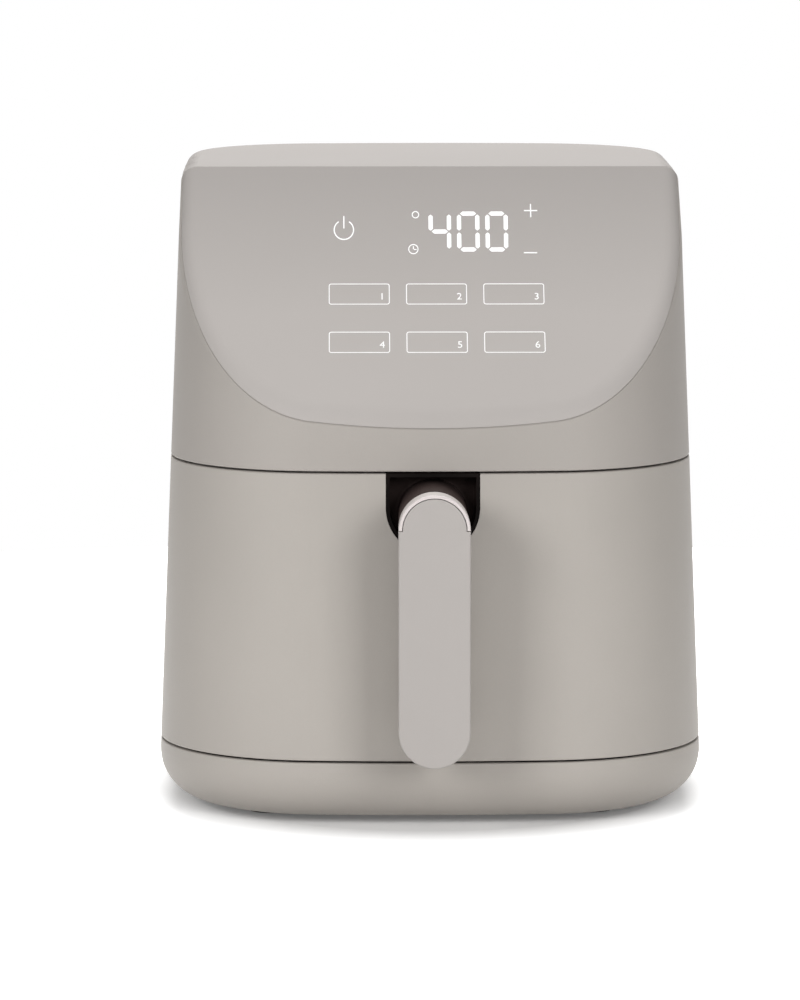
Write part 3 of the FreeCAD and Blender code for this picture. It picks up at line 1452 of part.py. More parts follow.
def make_pan():
    """Deep-drawn pan with a flat rim, and the bracket that ties it to the drawer."""
    outer = pan_solid("pan_outer", "0", "pan_floor")
    inner = pan_solid("pan_inner", "pan_wall", "pan_floor + pan_wall")
    grown = "rim_width"
    rim = upright(
        "pan_rim", "pan_top - rim_thick", "pan_top",
        lambda s: rounded_rectangle(
            s, f"-(pan_width / 2 + {grown})", f"-(pan_front + {grown})", f"pan_width / 2 + {grown}",
            f"pan_back + {grown}", f"pan_corner + {grown}"))
    finish("pan", cut("pan", fuse("pan_blank", outer, rim), inner))
    half = "pan_bracket_width / 2"
    reach = "-pan_front + pan_bracket_reach"
    wedge = block(
        "bracket_wedge", f"-{half}", half, "inner_panel_back", reach, "pan_bracket_low", "pan_bracket_high")
    waist = block(
        "bracket_waist", f"-{half} + pan_bracket_edge", f"{half} - pan_bracket_edge",
        "inner_panel_back + pan_bracket_plate", reach, "pan_bracket_low + pan_bracket_rail",
        "pan_bracket_high - pan_bracket_rail")
    finish("pan_bracket", cut("pan_bracket", wedge, outer, waist))


def make_tray():
    """Perforated lift-out tray with an upturned rim and legs, and its four bumpers."""
    def plan(sketch, inset):
        rounded_rectangle(
            sketch, f"-(tray_half - {inset})", f"tray_front + {inset}", f"tray_half - {inset}",
            f"tray_back - {inset}", f"tray_corner - {inset}")

    blank = upright("tray_blank", "tray_level", "tray_level + tray_rim", lambda s: plan(s, "0"))
    hollow_top = upright(
        "tray_hollow", "tray_top", "tray_level + tray_rim + through", lambda s: plan(s, "tray_thick"))
    legs = []
    for across in ("tray_leg_x", "-tray_leg_x"):
        for back in ("tray_leg_y", "-tray_leg_y"):
            legs.append(rod(
                f"tray_leg_{len(legs)}", across, f"tray_middle + ({back})", "tray_leg_radius",
                "pan_floor + pan_wall + fit_gap", "tray_top"))
    near = "tray_middle - tray_slot_y"
    slots = upright(
        "tray_slot", "tray_level - through", "tray_top + through",
        lambda s: stadium(s, "-tray_slot_x", f"{near} - tray_slot_half", f"{near} + tray_slot_half",
                          "tray_slot_width / 2"))
    grid(slots, "tray_slot_pitch_x", "tray_slots_x", "tray_slot_pitch_y", "tray_slots_y")
    finger = rod(
        "tray_finger", "0", "tray_middle", "tray_finger_hole", "tray_level - through", "tray_top + through")
    plate = cut("tray_plate", blank, hollow_top, slots, finger)
    finish("crisper_tray", fuse("crisper_tray", plate, *legs))

    half = "bumper_length / 2"
    thick = "tray_gap - fit_gap"
    low = "tray_top"
    high = "tray_top + bumper_high"
    bumpers = [
        block("bumper_left", f"-tray_half - ({thick})", "-tray_half", f"tray_middle - {half}",
              f"tray_middle + {half}", low, high),
        block("bumper_right", "tray_half", f"tray_half + {thick}", f"tray_middle - {half}",
              f"tray_middle + {half}", low, high),
        block("bumper_front", f"-{half}", half, f"tray_front - ({thick})", "tray_front", low, high),
        block("bumper_back", f"-{half}", half, "tray_back", f"tray_back + {thick}", low, high),
    ]
    finish("tray_bumpers", group("tray_bumpers", *bumpers))


# Build, test and write


def write_parts():
    """Stops on any failed object, then writes every piece to its own file."""
    doc.recompute()
    for item in doc.Objects:
        if {"Invalid", "Error"} & set(item.State):
            raise RuntimeError(f"{item.Name} failed: {item.State}")
    for piece in pieces:
        if piece.Shape.isNull() or not piece.Shape.isValid() or not piece.Shape.Solids:
            raise RuntimeError(f"{piece.Label} has no valid solid")
    os.makedirs("parts", exist_ok=True)
    for piece in pieces:
        piece.Shape.exportStep(f"parts/{piece.Label}.step")


make_base()
make_shell()
make_cover()
make_panel_electronics()
make_front_frame()
make_chamber()
make_heater()
make_motor()
make_fans()
make_back()
make_power_board()
make_sensors()
make_drawer_front()
make_inner_panel()
make_handle()
make_pan()
make_tray()
write_parts()
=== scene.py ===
"""Finishes, panel marks and studio for a basket air fryer, laid out as an add-on and run as a script."""
import json
import math

import bmesh
import bpy
from mathutils import Color, Euler, Matrix, Vector

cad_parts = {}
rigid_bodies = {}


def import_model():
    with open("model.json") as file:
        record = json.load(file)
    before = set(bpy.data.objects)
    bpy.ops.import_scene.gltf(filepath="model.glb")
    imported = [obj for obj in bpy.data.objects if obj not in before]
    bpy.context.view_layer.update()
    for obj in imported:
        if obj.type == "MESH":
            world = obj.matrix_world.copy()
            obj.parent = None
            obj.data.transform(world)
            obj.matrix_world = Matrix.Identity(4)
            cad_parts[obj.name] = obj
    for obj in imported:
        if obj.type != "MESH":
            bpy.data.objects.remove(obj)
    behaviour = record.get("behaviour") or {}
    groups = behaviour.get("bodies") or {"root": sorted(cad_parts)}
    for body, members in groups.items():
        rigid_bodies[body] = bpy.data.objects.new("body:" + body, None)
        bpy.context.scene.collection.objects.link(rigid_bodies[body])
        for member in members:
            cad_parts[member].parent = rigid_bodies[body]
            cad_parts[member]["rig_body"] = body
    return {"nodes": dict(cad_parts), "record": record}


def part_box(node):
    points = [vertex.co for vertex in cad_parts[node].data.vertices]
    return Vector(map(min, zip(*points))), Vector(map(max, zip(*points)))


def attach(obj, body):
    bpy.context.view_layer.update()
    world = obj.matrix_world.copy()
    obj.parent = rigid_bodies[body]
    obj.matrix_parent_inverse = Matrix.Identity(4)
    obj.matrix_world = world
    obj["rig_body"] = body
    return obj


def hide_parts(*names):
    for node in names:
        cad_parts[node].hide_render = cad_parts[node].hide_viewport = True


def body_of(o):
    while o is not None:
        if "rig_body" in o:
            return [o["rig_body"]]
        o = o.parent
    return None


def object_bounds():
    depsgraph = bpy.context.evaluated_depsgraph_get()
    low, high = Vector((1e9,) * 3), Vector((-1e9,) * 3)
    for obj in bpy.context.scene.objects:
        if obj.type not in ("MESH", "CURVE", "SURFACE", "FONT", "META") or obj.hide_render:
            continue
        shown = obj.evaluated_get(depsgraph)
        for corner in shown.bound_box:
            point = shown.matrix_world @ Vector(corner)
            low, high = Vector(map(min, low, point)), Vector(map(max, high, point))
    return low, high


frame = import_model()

bl_info = {
    "name": "Basket air fryer",
    "version": (1, 0, 0),
    "blender": (4, 5, 0),
    "location": "3D View > Sidebar > Air Fryer",
    "description": "Gives the air fryer its finishes, lit panel marks, screws and studio",
    "category": "Object",
}

CAD_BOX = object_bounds()
NODES = frame["nodes"]
NODE_SLOTS = {row["node"]: row["material_slot"] for row in frame["record"]["subparts"]}
FAN_AXIS = (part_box("hot_air_fan")[0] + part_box("hot_air_fan")[1]) / 2

# Turns that point a screw's head downwards or backwards
SCREW_TURN = {"Z": Matrix.Rotation(math.pi, 4, "X"), "Y": Matrix.Rotation(-math.pi / 2, 4, "X")}

# How finely round shapes are divided
RING_STEPS = 48
CORNER_STEPS = 6
FIGURE_STEPS = 6
FLOOR_STEPS = 96
SCREW_CELLS = 5

# How far the sloped panel's faces look forwards and upwards, at least
PANEL_FORWARDS = 0.5
PANEL_UPWARDS = 0.3

# Touch keys of the panel
KEY_ROWS = 2
KEY_COLUMNS = 3

# Height of a figure in type of size 1, and how much of a digit's bar its cut corners take
FIGURE_HEIGHT = 0.73
BAR_CUT = 0.46

# Bars of a seven-bar digit, named from the top clockwise, with the middle last
DIGIT_BARS = {
    "0": "abcdef", "1": "bc", "2": "abdeg", "3": "abcdg", "4": "bcfg",
    "5": "acdfg", "6": "acdefg", "7": "abc", "8": "abcdefg", "9": "abcdfg",
}

# Studio: colours, the camera's sensor in millimetres, and places in metres
WHITE = (1.0, 1.0, 1.0, 1.0)
FLOOR_TONES = ((0.84, 0.84, 0.84, 1.0), (0.88, 0.88, 0.88, 1.0))
SENSOR_WIDTH = 36.0
VIEW_REACH = 50.0
LAMP_AIM = Vector((0.0, 0.0, CAD_BOX[1].z / 2))

# Softboxes: the setting that holds each one's power, its place and its width in metres
SOFTBOXES = {
    "left_softbox": ("left_lamp", (-1.45, -2.05, 1.0), 0.9),
    "right_softbox": ("right_lamp", (1.1, -2.3, 0.9), 0.9),
    "front_softbox": ("front_lamp", (0.0, -2.5, 1.5), 0.9),
    "top_softbox": ("top_lamp", (0.0, 0.9, 1.9), 1.6),
}


# Sizes and colours that a user would change


def shade(name, description, default):
    """A colour written as it looks on screen."""
    return bpy.props.FloatVectorProperty(
        name=name, description=description, default=default, size=3, min=0.0, max=1.0,
        subtype="COLOR_GAMMA")


def length(name, description, default):
    """A length in metres."""
    return bpy.props.FloatProperty(
        name=name, description=description, default=default, unit="LENGTH", precision=5)


def spot(name, description, default):
    """A place on the panel in metres, across and down from the middle of its top edge."""
    return bpy.props.FloatVectorProperty(
        name=name, description=description, default=default, size=2, unit="LENGTH", precision=5)


def share(name, description, default):
    """A share between nothing and all."""
    return bpy.props.FloatProperty(
        name=name, description=description, default=default, min=0.0, max=1.0, subtype="FACTOR")


def plain(name, description, default, low, high):
    """A plain number between two limits."""
    return bpy.props.FloatProperty(name=name, description=description, default=default, min=low, max=high)


def watts(name, description, default):
    """A lamp's power."""
    return bpy.props.FloatProperty(
        name=name, description=description, default=default, min=0.0, unit="POWER")


class FryerFinishes(bpy.types.PropertyGroup):
    """Colours and gloss of the mouldings, metals and boards."""

    body: shade("Body", "Moulded drawer front and base", (0.683, 0.661, 0.636))
    shell: shade("Shell", "Moulded outer shell", (0.664, 0.642, 0.620))
    panel: shade("Panel", "Top cover with the sloped touch panel", (0.705, 0.685, 0.671))
    handle: shade("Handle", "Grip and its front cover", (0.674, 0.654, 0.640))
    trim: shade("Trim", "Horseshoe trim at the top of the handle", (0.835, 0.803, 0.795))
    dark: shade("Dark plastic", "Front frame, runners, deck and inner panel", (0.092, 0.066, 0.060))
    # Painted light and shade on the handle's one dark bracket: the cup's inside and its neck are painted
    # paler, and its front rim is painted darker
    cup: shade("Cup", "Inside of the handle's cup", (0.178, 0.142, 0.134))
    rim_painted_shade: shade("Cup rim", "Front rim of the handle's cup", (0.055, 0.040, 0.036))
    neck: shade("Neck", "Neck between the cup and the handle", (0.215, 0.178, 0.170))
    rubber: shade("Rubber", "Feet", (0.150, 0.148, 0.146))
    silicone: shade("Silicone", "Bumpers of the tray", (0.200, 0.196, 0.192))
    zinc: shade("Sheet zinc", "Galvanised sheet of the chamber", (0.740, 0.755, 0.765))
    plated: shade("Plated steel", "Screws, shaft and standoffs", (0.790, 0.780, 0.750))
    tube: shade("Heater tube", "Oxidised tube of the heating element", (0.420, 0.405, 0.390))
    heat_brown: shade("Heat brown", "Brown clouds on the heater tube", (0.33, 0.27, 0.23))
    heat_blue: shade("Heat blue", "Blue specks on the heater tube", (0.30, 0.32, 0.38))
    ceramic: shade("Ceramic", "Bushings and fuse", (0.920, 0.905, 0.870))
    ceramic_speck: shade("Ceramic specks", "Dark specks in the ceramic", (0.62, 0.58, 0.52))
    motor: shade("Motor steel", "Motor can and laminations", (0.620, 0.630, 0.640))
    aluminium: shade("Aluminium", "Fan wheels", (0.840, 0.842, 0.850))
    coating: shade("Coating", "Non-stick coating of pan and tray", (0.175, 0.172, 0.175))
    coating_fleck: shade("Coating flecks", "Pale flecks in the coating", (0.46, 0.46, 0.47))
    board: shade("Board", "Solder mask of the circuit boards", (0.080, 0.370, 0.190))
    board_track: shade("Board tracks", "Tracks under the solder mask", (0.26, 0.56, 0.30))
    component: shade("Components", "Moulded bodies on the boards", (0.190, 0.192, 0.205))
    mark: shade("Marks", "Lit marks of the panel", (0.97, 0.97, 0.97))
    body_gloss: share("Body roughness", "Roughness of the moulded body", 0.50)
    panel_gloss: share("Panel roughness", "Roughness of the touch panel", 0.62)
    # Painted shade: the touch panel is painted darker towards its top
    panel_painted_shade: share("Panel fade", "How much the touch panel darkens towards its top", 0.165)
    painted_shade_start: share("Fade start", "Share of the top cover's height where the fade starts", 0.45)
    handle_gloss: share("Handle roughness", "Roughness of the grip and its cover", 0.42)
    trim_gloss: share("Trim roughness", "Roughness of the horseshoe trim", 0.28)
    dark_gloss: share("Dark roughness", "Roughness of the dark plastic", 0.56)
    # Painted light: the grip is painted paler towards its top
    crown_painted_light: plain("Crown", "How much paler the grip is at its top", 1.42, 1.0, 2.0)
    # Painted light and shade: width over which the bracket's painted tones meet
    painted_tone_blend: length("Cup blend", "Width over which the tones of cup, rim and neck meet", 0.001)
    grain: length("Grain", "Depth of the moulded grain", 0.00004)
    glow: plain("Glow", "Strength of the lit digits and symbols", 0.15, 0.0, 4.0)
    key_glow: share("Key glow", "Strength of the lit keys for that of the digits", 0.8)


class FryerMarks(bpy.types.PropertyGroup):
    """Places and sizes of the panel's marks, measured across and down from its top edge."""

    reading: bpy.props.IntProperty(
        name="Reading", description="Number shown", default=400, min=0, max=999)
    stretch: plain("Stretch", "Height of a mark for its width", 1.19, 0.5, 2.0)
    lift: length("Lift", "Height of the marks above the panel", 0.0001)
    digit_left: length("Digit left", "Left end of the first digit", -0.0011)
    digit_pitch: length("Digit pitch", "Step from digit to digit", 0.01412)
    digit_width: length("Digit width", "Width of a digit", 0.01125)
    digit_top: length("Digit top", "Digits' top below the panel's edge", 0.0272)
    digit_height: length("Digit height", "Height of a digit", 0.02395)
    digit_stroke: length("Digit stroke", "Width of a digit's bars", 0.00215)
    digit_gap: length("Digit gap", "Gap between a digit's bars", 0.0006)
    degree: spot("Degree ring", "Place of the degree ring", (-0.0075, 0.0291))
    degree_radius: length("Degree radius", "Radius of the degree ring", 0.0016)
    degree_line: share("Degree line", "Width of the degree ring's line for that of the others", 0.8)
    clock: spot("Clock", "Place of the clock mark", (-0.0087, 0.0496))
    clock_radius: length("Clock radius", "Radius of the clock mark", 0.0023)
    clock_line: share("Clock line", "Width of the clock's lines for that of the others", 0.75)
    clock_hand: share("Clock hand", "Length of the clock's hands for its radius", 0.62)
    power: spot("Power", "Place of the power mark", (-0.0431, 0.0381))
    power_radius: length("Power radius", "Radius of the power mark", 0.0048)
    power_stem: plain("Power stem", "Length of the stem for half the ring's height", 1.3, 0.0, 2.0)
    power_rise: share("Power rise", "Rise of the stem's middle for half the ring's height", 0.8)
    power_gap: bpy.props.FloatProperty(
        name="Power gap", description="Open angle of the power mark", default=math.radians(64),
        subtype="ANGLE")
    plus: spot("Plus", "Place of the plus mark", (0.0498, 0.0267))
    minus: spot("Minus", "Place of the minus mark", (0.0493, 0.0518))
    level_arm: length("Level arm", "Half length of the plus and minus marks", 0.00333)
    line: length("Line", "Width of the power, plus and minus lines", 0.0006)
    key_left: length("Key left", "Left end of the first key", -0.05065)
    key_pitch: length("Key pitch", "Step from key to key", 0.03812)
    key_width: length("Key width", "Width of a key", 0.03003)
    key_top: length("Key top", "Top of the upper keys below the panel's edge", 0.07000)
    key_drop: length("Key drop", "Step from row to row", 0.02821)
    key_height: length("Key height", "Height of a key", 0.01225)
    key_corner: length("Key corner", "Corner radius of a key", 0.00125)
    key_line: length("Key line", "Width of a key's outline", 0.00042)
    number_height: length("Number height", "Height of the numbers on the keys", 0.0040)
    number_inset: length("Number inset", "Number's distance from the key's right end", 0.0024)
    number_rise: length("Number rise", "Number's height above the key's lower line", 0.0029)


class FryerScrews(bpy.types.PropertyGroup):
    """Sizes of the screws."""

    head_radius: length("Head radius", "Radius of a head", 0.0032)
    head_height: length("Head height", "Height of a head", 0.0018)
    shank_radius: length("Shank radius", "Radius of a shank", 0.0016)
    recess_depth: length("Recess depth", "Depth of the cross recess", 0.0009)
    recess_taper: share("Recess taper", "Width of the recess at its floor for that at its mouth", 0.75)
    dome_width: share("Dome width", "Width of the head's dome for that of the head", 0.94)
    dome_drop: share("Dome drop", "How far the dome falls towards its edge, for the head's height", 0.3)
    side_height: share("Side height", "Height of the head's upright side, for the head's height", 0.55)
    point_start: share("Point start", "Where along the shank its point starts", 0.8)
    point_width: share("Point width", "Width of the point's end for that of the shank", 0.3)


class FryerStage(bpy.types.PropertyGroup):
    """Camera, lamps and floor."""

    camera_place: bpy.props.FloatVectorProperty(
        name="Camera", description="Camera's place", size=3, default=(-0.0503, -2.9284, 0.5335),
        unit="LENGTH")
    camera_turn: bpy.props.FloatVectorProperty(
        name="Camera turn", description="Camera's rotation", size=3, subtype="EULER",
        default=(math.radians(90 - 7.505), 0.0, -0.01217))
    focal: bpy.props.FloatProperty(
        name="Focal length", description="Lens in millimetres", default=209.484, min=1.0, unit="CAMERA")
    left_lamp: watts("Left lamp", "Softbox left of the front", 28.6)
    right_lamp: watts("Right lamp", "Softbox right of the front", 27.4)
    front_lamp: watts("Front lamp", "Softbox high above the front", 8.0)
    top_lamp: watts("Top lamp", "Softbox above and behind", 47.0)
    fill: share("Fill", "Even light from all round", 0.075)
    floor_glow: share("Floor glow", "Floor's own brightness close to the object", 0.10)
    floor_radius: length("Floor radius", "Radius of the floor", 0.9)
    shadow_start: length("Shadow start", "How far from the middle the floor starts to whiten", 0.122)
    shadow_end: length("Shadow end", "How far from the middle the floor is white", 0.170)


# Node materials


class Finish:
    """A node material, built up from Object coordinates."""

    def __init__(self, name, metallic=0.0):
        self.material = bpy.data.materials.new(name)
        self.material.use_nodes = True
        self.tree = self.material.node_tree
        self.shader = self.tree.nodes["Principled BSDF"]
        self.shader.inputs["Metallic"].default_value = metallic
        self.place = self.node("ShaderNodeTexCoord").outputs["Object"]

    def node(self, kind, inputs=None, **settings):
        """A new node with its settings and inputs, each a number, colour or socket."""
        made = self.tree.nodes.new(kind)
        for name, setting in settings.items():
            setattr(made, name, setting)
        for name, given in (inputs or {}).items():
            if isinstance(given, bpy.types.NodeSocket):
                self.tree.links.new(given, made.inputs[name])
            else:
                made.inputs[name].default_value = given
        return made

    def moved(self, location=(0, 0, 0), scale=(1, 1, 1)):
        """Object coordinates stretched and moved."""
        return self.node("ShaderNodeMapping", {
            "Vector": self.place, "Location": location, "Scale": scale}).outputs["Vector"]

    def noise(self, scale, detail=3.0, place=None):
        """Soft noise with a number of lumps to the metre."""
        return self.node("ShaderNodeTexNoise", {
            "Vector": place or self.place, "Scale": scale, "Detail": detail,
            "Roughness": 0.55}).outputs["Fac"]

    def cells(self, scale, output="Color"):
        """Voronoi cells, by their colour or by the distance to their middle."""
        return self.node("ShaderNodeTexVoronoi", {"Vector": self.place, "Scale": scale}).outputs[output]

    def bands(self, scale, axis, distortion=0.0, place=None, kind="BANDS"):
        """Wave bands along an axis, or rings round it."""
        way = {"bands_direction": axis} if kind == "BANDS" else {"rings_direction": axis}
        return self.node("ShaderNodeTexWave", {
            "Vector": place or self.place, "Scale": scale, "Distortion": distortion, "Detail": 2.0,
            "Detail Scale": 2.0}, wave_type=kind, **way).outputs["Fac"]

    def span(self, factor, low=0.0, high=1.0, start=0.3, end=0.7):
        """A factor stretched to a range, which it runs through between a start and an end."""
        return self.node("ShaderNodeMapRange", {
            "Value": factor, "From Min": start, "From Max": end, "To Min": low,
            "To Max": high}).outputs["Result"]

    def distance(self, place):
        """How far a place is from the origin."""
        return self.node("ShaderNodeVectorMath", {0: place}, operation="LENGTH").outputs["Value"]

    def along(self, axis):
        """The Object coordinate along an axis."""
        return self.node("ShaderNodeSeparateXYZ", {"Vector": self.place}).outputs[axis]

    def mix(self, factor, first, second):
        """Two colours mixed by a factor."""
        made = self.node("ShaderNodeMix", data_type="RGBA")
        sockets = (made.inputs[0], made.inputs[6], made.inputs[7])
        for socket, given in zip(sockets, (factor, first, second)):
            if isinstance(given, bpy.types.NodeSocket):
                self.tree.links.new(given, socket)
            else:
                socket.default_value = given
        return made.outputs[2]

    def sum(self, *heights):
        """Heights added up."""
        total = heights[0]
        for height in heights[1:]:
            total = self.node("ShaderNodeMath", {0: total, 1: height}, operation="ADD").outputs[0]
        return total

    def times(self, factor, other):
        """A factor times a number or another factor."""
        return self.node("ShaderNodeMath", {0: factor, 1: other}, operation="MULTIPLY").outputs[0]

    def set(self, **sockets):
        """Links or sets the shader's inputs, named with underscores for spaces."""
        for name, given in sockets.items():
            socket = self.shader.inputs[name.replace("_", " ")]
            if isinstance(given, bpy.types.NodeSocket):
                self.tree.links.new(given, socket)
            else:
                socket.default_value = given

    def colour(self):
        """What colours the shader so far."""
        return self.shader.inputs["Base Color"].links[0].from_socket

    def bump(self, height, depth, strength=1.0):
        """Relief from a height, as deep as given in metres."""
        made = self.node("ShaderNodeBump", {"Height": height, "Distance": depth, "Strength": strength})
        self.tree.links.new(made.outputs["Normal"], self.shader.inputs["Normal"])


def linear(colour, level=1.0):
    """Scene-linear colour of one written as it looks on screen, lighter or darker by a level."""
    channels = Color(colour).from_srgb_to_scene_linear()
    return (*(min(1.0, channel * level) for channel in channels), 1.0)


def dress(slot, finish):
    """Gives a finish to every CAD node of a slot."""
    for node, its_slot in NODE_SLOTS.items():
        if its_slot == slot:
            cover(NODES[node], finish)


def cover(piece, finish):
    """Puts one finish on a piece."""
    if not piece.data.materials:
        piece.data.materials.append(finish.material)
    for held in piece.material_slots:
        held.material = finish.material


def moulding(name, colour, roughness, grain, fineness=1500.0, spread=0.03, shine=0.22, fade=None):
    """Moulded plastic: fine grain, faint flow marks and uneven gloss.

    A fade is painted shade or painted light, as its level is below or above one: two heights and the
    level that the colour changes to from the first to the second.
    """
    finish = Finish(name)
    finish.set(Specular_IOR_Level=shine)
    cloud = finish.noise(9.0, detail=4.0)
    fleck = finish.noise(fineness, detail=2.0)
    flow = finish.span(cloud)
    toned = finish.mix(flow, linear(colour, 1 - spread), linear(colour, 1 + spread))
    toned = finish.mix(finish.span(fleck, high=0.22), toned, linear(colour, 1 - 3 * spread))
    # Painted light or shade: the colour turns lighter or darker with height
    if fade:
        low, high, level = fade
        height = finish.span(finish.along("Z"), start=low, end=high)
        toned = finish.mix(height, toned, linear(colour, level))
    uneven = finish.sum(finish.times(fleck, 0.6), finish.times(cloud, 0.4))
    gloss = finish.span(uneven, low=roughness - 0.05, high=roughness + 0.07)
    finish.set(Base_Color=toned, Roughness=gloss)
    swell = finish.noise(fineness / 6, detail=2.0)
    finish.bump(finish.sum(fleck, finish.times(swell, 0.5)), depth=grain)
    return finish


def cup_moulding(name, look):
    """Dark moulding of the handle's cup with painted light and shade: paler inside and on the neck as
    painted light, blackest on its front rim as painted shade.
    """
    finish = moulding(
        name, look.cup, look.dark_gloss, look.grain * 2, fineness=1100.0, spread=0.12, shine=0.04)
    blend = look.painted_tone_blend
    corners = [vertex.co for vertex in NODES["handle_bracket"].data.vertices]
    rim_top = max(corner.z for corner in corners)
    rim_front = min(corner.y for corner in corners if corner.z > rim_top - blend)
    neck_top = max(corner.z for corner in corners if corner.y < rim_front - 2 * blend)
    neck_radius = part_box("handle_shell")[1].x
    # Painted light: inside this arch the neck is painted paler
    arch = finish.moved(location=(0, 0, neck_radius - neck_top), scale=(1, 0, 1))
    edge = neck_radius + blend / 2
    outside = finish.span(finish.distance(arch), start=edge, end=edge + blend)
    # Painted shade: in front of this line the rim is painted blacker
    front = finish.span(finish.along("Y"), low=1.0, high=0.0, start=rim_front, end=rim_front + 2 * blend)
    toned = finish.mix(outside, linear(look.neck), finish.colour())
    finish.set(Base_Color=finish.mix(finish.times(outside, front), toned, linear(look.rim_painted_shade)))
    return finish


def soft_rubber(name, colour, roughness):
    """Rubber or silicone: matt, with dust and a fine skin."""
    finish = Finish(name)
    dust = finish.noise(60.0, detail=5.0)
    skin = finish.noise(2600.0, detail=2.0)
    finish.set(
        Base_Color=finish.mix(finish.span(dust, high=0.5), linear(colour), linear(colour, 1.9)),
        Roughness=finish.span(dust, low=roughness - 0.08, high=roughness + 0.1))
    finish.bump(skin, depth=0.00005)
    return finish


def sheet_zinc(name, colour):
    """Galvanised sheet: spangle crystals with their own tone and gloss, and fine rolling lines."""
    finish = Finish(name, metallic=1.0)
    crystal = finish.node("ShaderNodeSeparateColor", {"Color": finish.cells(95.0)}).outputs[0]
    roll = finish.noise(40.0, place=finish.moved(scale=(1.0, 1.0, 30.0)))
    uneven = finish.sum(finish.times(crystal, 0.6), finish.times(roll, 0.4))
    finish.set(
        Base_Color=finish.mix(crystal, linear(colour, 0.72), linear(colour, 1.05)),
        Roughness=finish.span(uneven, low=0.28, high=0.48, start=0.1, end=0.9))
    finish.bump(finish.sum(crystal, roll), depth=0.00002, strength=0.6)
    return finish


def plated_steel(name, colour):
    """Zinc plating: bright, with faint clouds and turning marks."""
    finish = Finish(name, metallic=1.0)
    cloud = finish.noise(300.0, detail=4.0)
    finish.set(
        Base_Color=finish.mix(finish.span(cloud), linear(colour, 0.8), linear(colour)),
        Roughness=finish.span(cloud, low=0.22, high=0.42))
    finish.bump(finish.noise(2500.0, detail=2.0), depth=0.00001)
    return finish


def oxidised_tube(name, colour, brown, blue):
    """Heater tube: steel tinted by heat in brown and blue clouds."""
    finish = Finish(name, metallic=1.0)
    cloud = finish.noise(45.0, detail=5.0)
    speck = finish.noise(900.0)
    tinted = finish.mix(finish.span(cloud), linear(brown), linear(colour))
    finish.set(
        Base_Color=finish.mix(finish.span(speck, high=0.5), tinted, linear(blue)),
        Roughness=finish.span(speck, low=0.38, high=0.62))
    finish.bump(speck, depth=0.00003)
    return finish


def unglazed_ceramic(name, colour, dark):
    """Unglazed ceramic: chalky with small dark specks."""
    finish = Finish(name)
    speck = finish.cells(900.0, output="Distance")
    cloud = finish.noise(120.0, detail=4.0)
    pale = finish.mix(finish.span(cloud), linear(colour, 0.9), linear(colour))
    sparse = finish.span(speck, low=0.45, high=0.0, start=0.05, end=0.2)
    finish.set(
        Base_Color=finish.mix(sparse, pale, linear(dark)),
        Roughness=finish.span(cloud, low=0.62, high=0.8))
    finish.bump(finish.noise(1500.0), depth=0.00004)
    return finish


def laminated_steel(name, colour):
    """Motor steel: stacked sheets show as thin bands."""
    finish = Finish(name, metallic=1.0)
    stack = finish.bands(340.0, axis="Z")
    cloud = finish.noise(80.0, detail=4.0)
    toned = finish.mix(finish.span(cloud), linear(colour, 0.8), linear(colour))
    seams = finish.span(stack, high=0.45, start=0.2, end=0.8)
    finish.set(
        Base_Color=finish.mix(seams, toned, linear(colour, 0.45)),
        Roughness=finish.span(cloud, low=0.32, high=0.5))
    finish.bump(stack, depth=0.00004, strength=0.5)
    return finish


def spun_aluminium(name, colour):
    """Fan sheet: fine rings round the shaft."""
    finish = Finish(name, metallic=1.0)
    centred = finish.moved(location=(-FAN_AXIS.x, -FAN_AXIS.y, 0.0))
    rings = finish.bands(260.0, axis="Z", distortion=0.6, place=centred, kind="RINGS")
    cloud = finish.noise(60.0, detail=4.0)
    finish.set(
        Base_Color=finish.mix(finish.span(cloud), linear(colour, 0.82), linear(colour)),
        Roughness=finish.span(rings, low=0.24, high=0.4, start=0.1, end=0.9))
    finish.bump(rings, depth=0.00002, strength=0.6)
    return finish


def nonstick(name, colour, pale):
    """Non-stick coating: near black with pale flecks and an orange-peel skin."""
    finish = Finish(name)
    fleck = finish.cells(420.0, output="Distance")
    peel = finish.noise(700.0, detail=2.0)
    cloud = finish.noise(18.0, detail=4.0)
    toned = finish.mix(finish.span(cloud), linear(colour, 0.85), linear(colour, 1.2))
    sparse = finish.span(fleck, low=0.5, high=0.0, start=0.05, end=0.16)
    finish.set(
        Base_Color=finish.mix(sparse, toned, linear(pale)),
        Roughness=finish.span(peel, low=0.3, high=0.46))
    finish.bump(peel, depth=0.00005)
    return finish


def circuit_board(name, colour, copper):
    """Solder mask: raised tracks in two directions show lighter under it."""
    finish = Finish(name)
    track = finish.node("ShaderNodeTexBrick", {
        "Vector": finish.place, "Scale": 90.0, "Mortar Size": 0.03,
        "Brick Width": 0.7, "Row Height": 0.35}, offset=0.35).outputs["Fac"]
    cloud = finish.noise(200.0)
    toned = finish.mix(finish.span(cloud), linear(colour, 0.85), linear(colour, 1.1))
    finish.set(
        Base_Color=finish.mix(track, toned, linear(copper)),
        Roughness=finish.span(cloud, low=0.26, high=0.4))
    finish.bump(track, depth=0.00004)
    return finish


def lit_mark(name, colour, glow):
    """Lit marks: white behind a light guide, a little uneven."""
    finish = Finish(name)
    cloud = finish.noise(260.0, detail=2.0)
    toned = finish.mix(finish.span(cloud), linear(colour, 0.93), linear(colour))
    finish.set(Base_Color=toned, Emission_Color=toned, Emission_Strength=glow, Roughness=0.4)
    return finish


# Mesh helpers


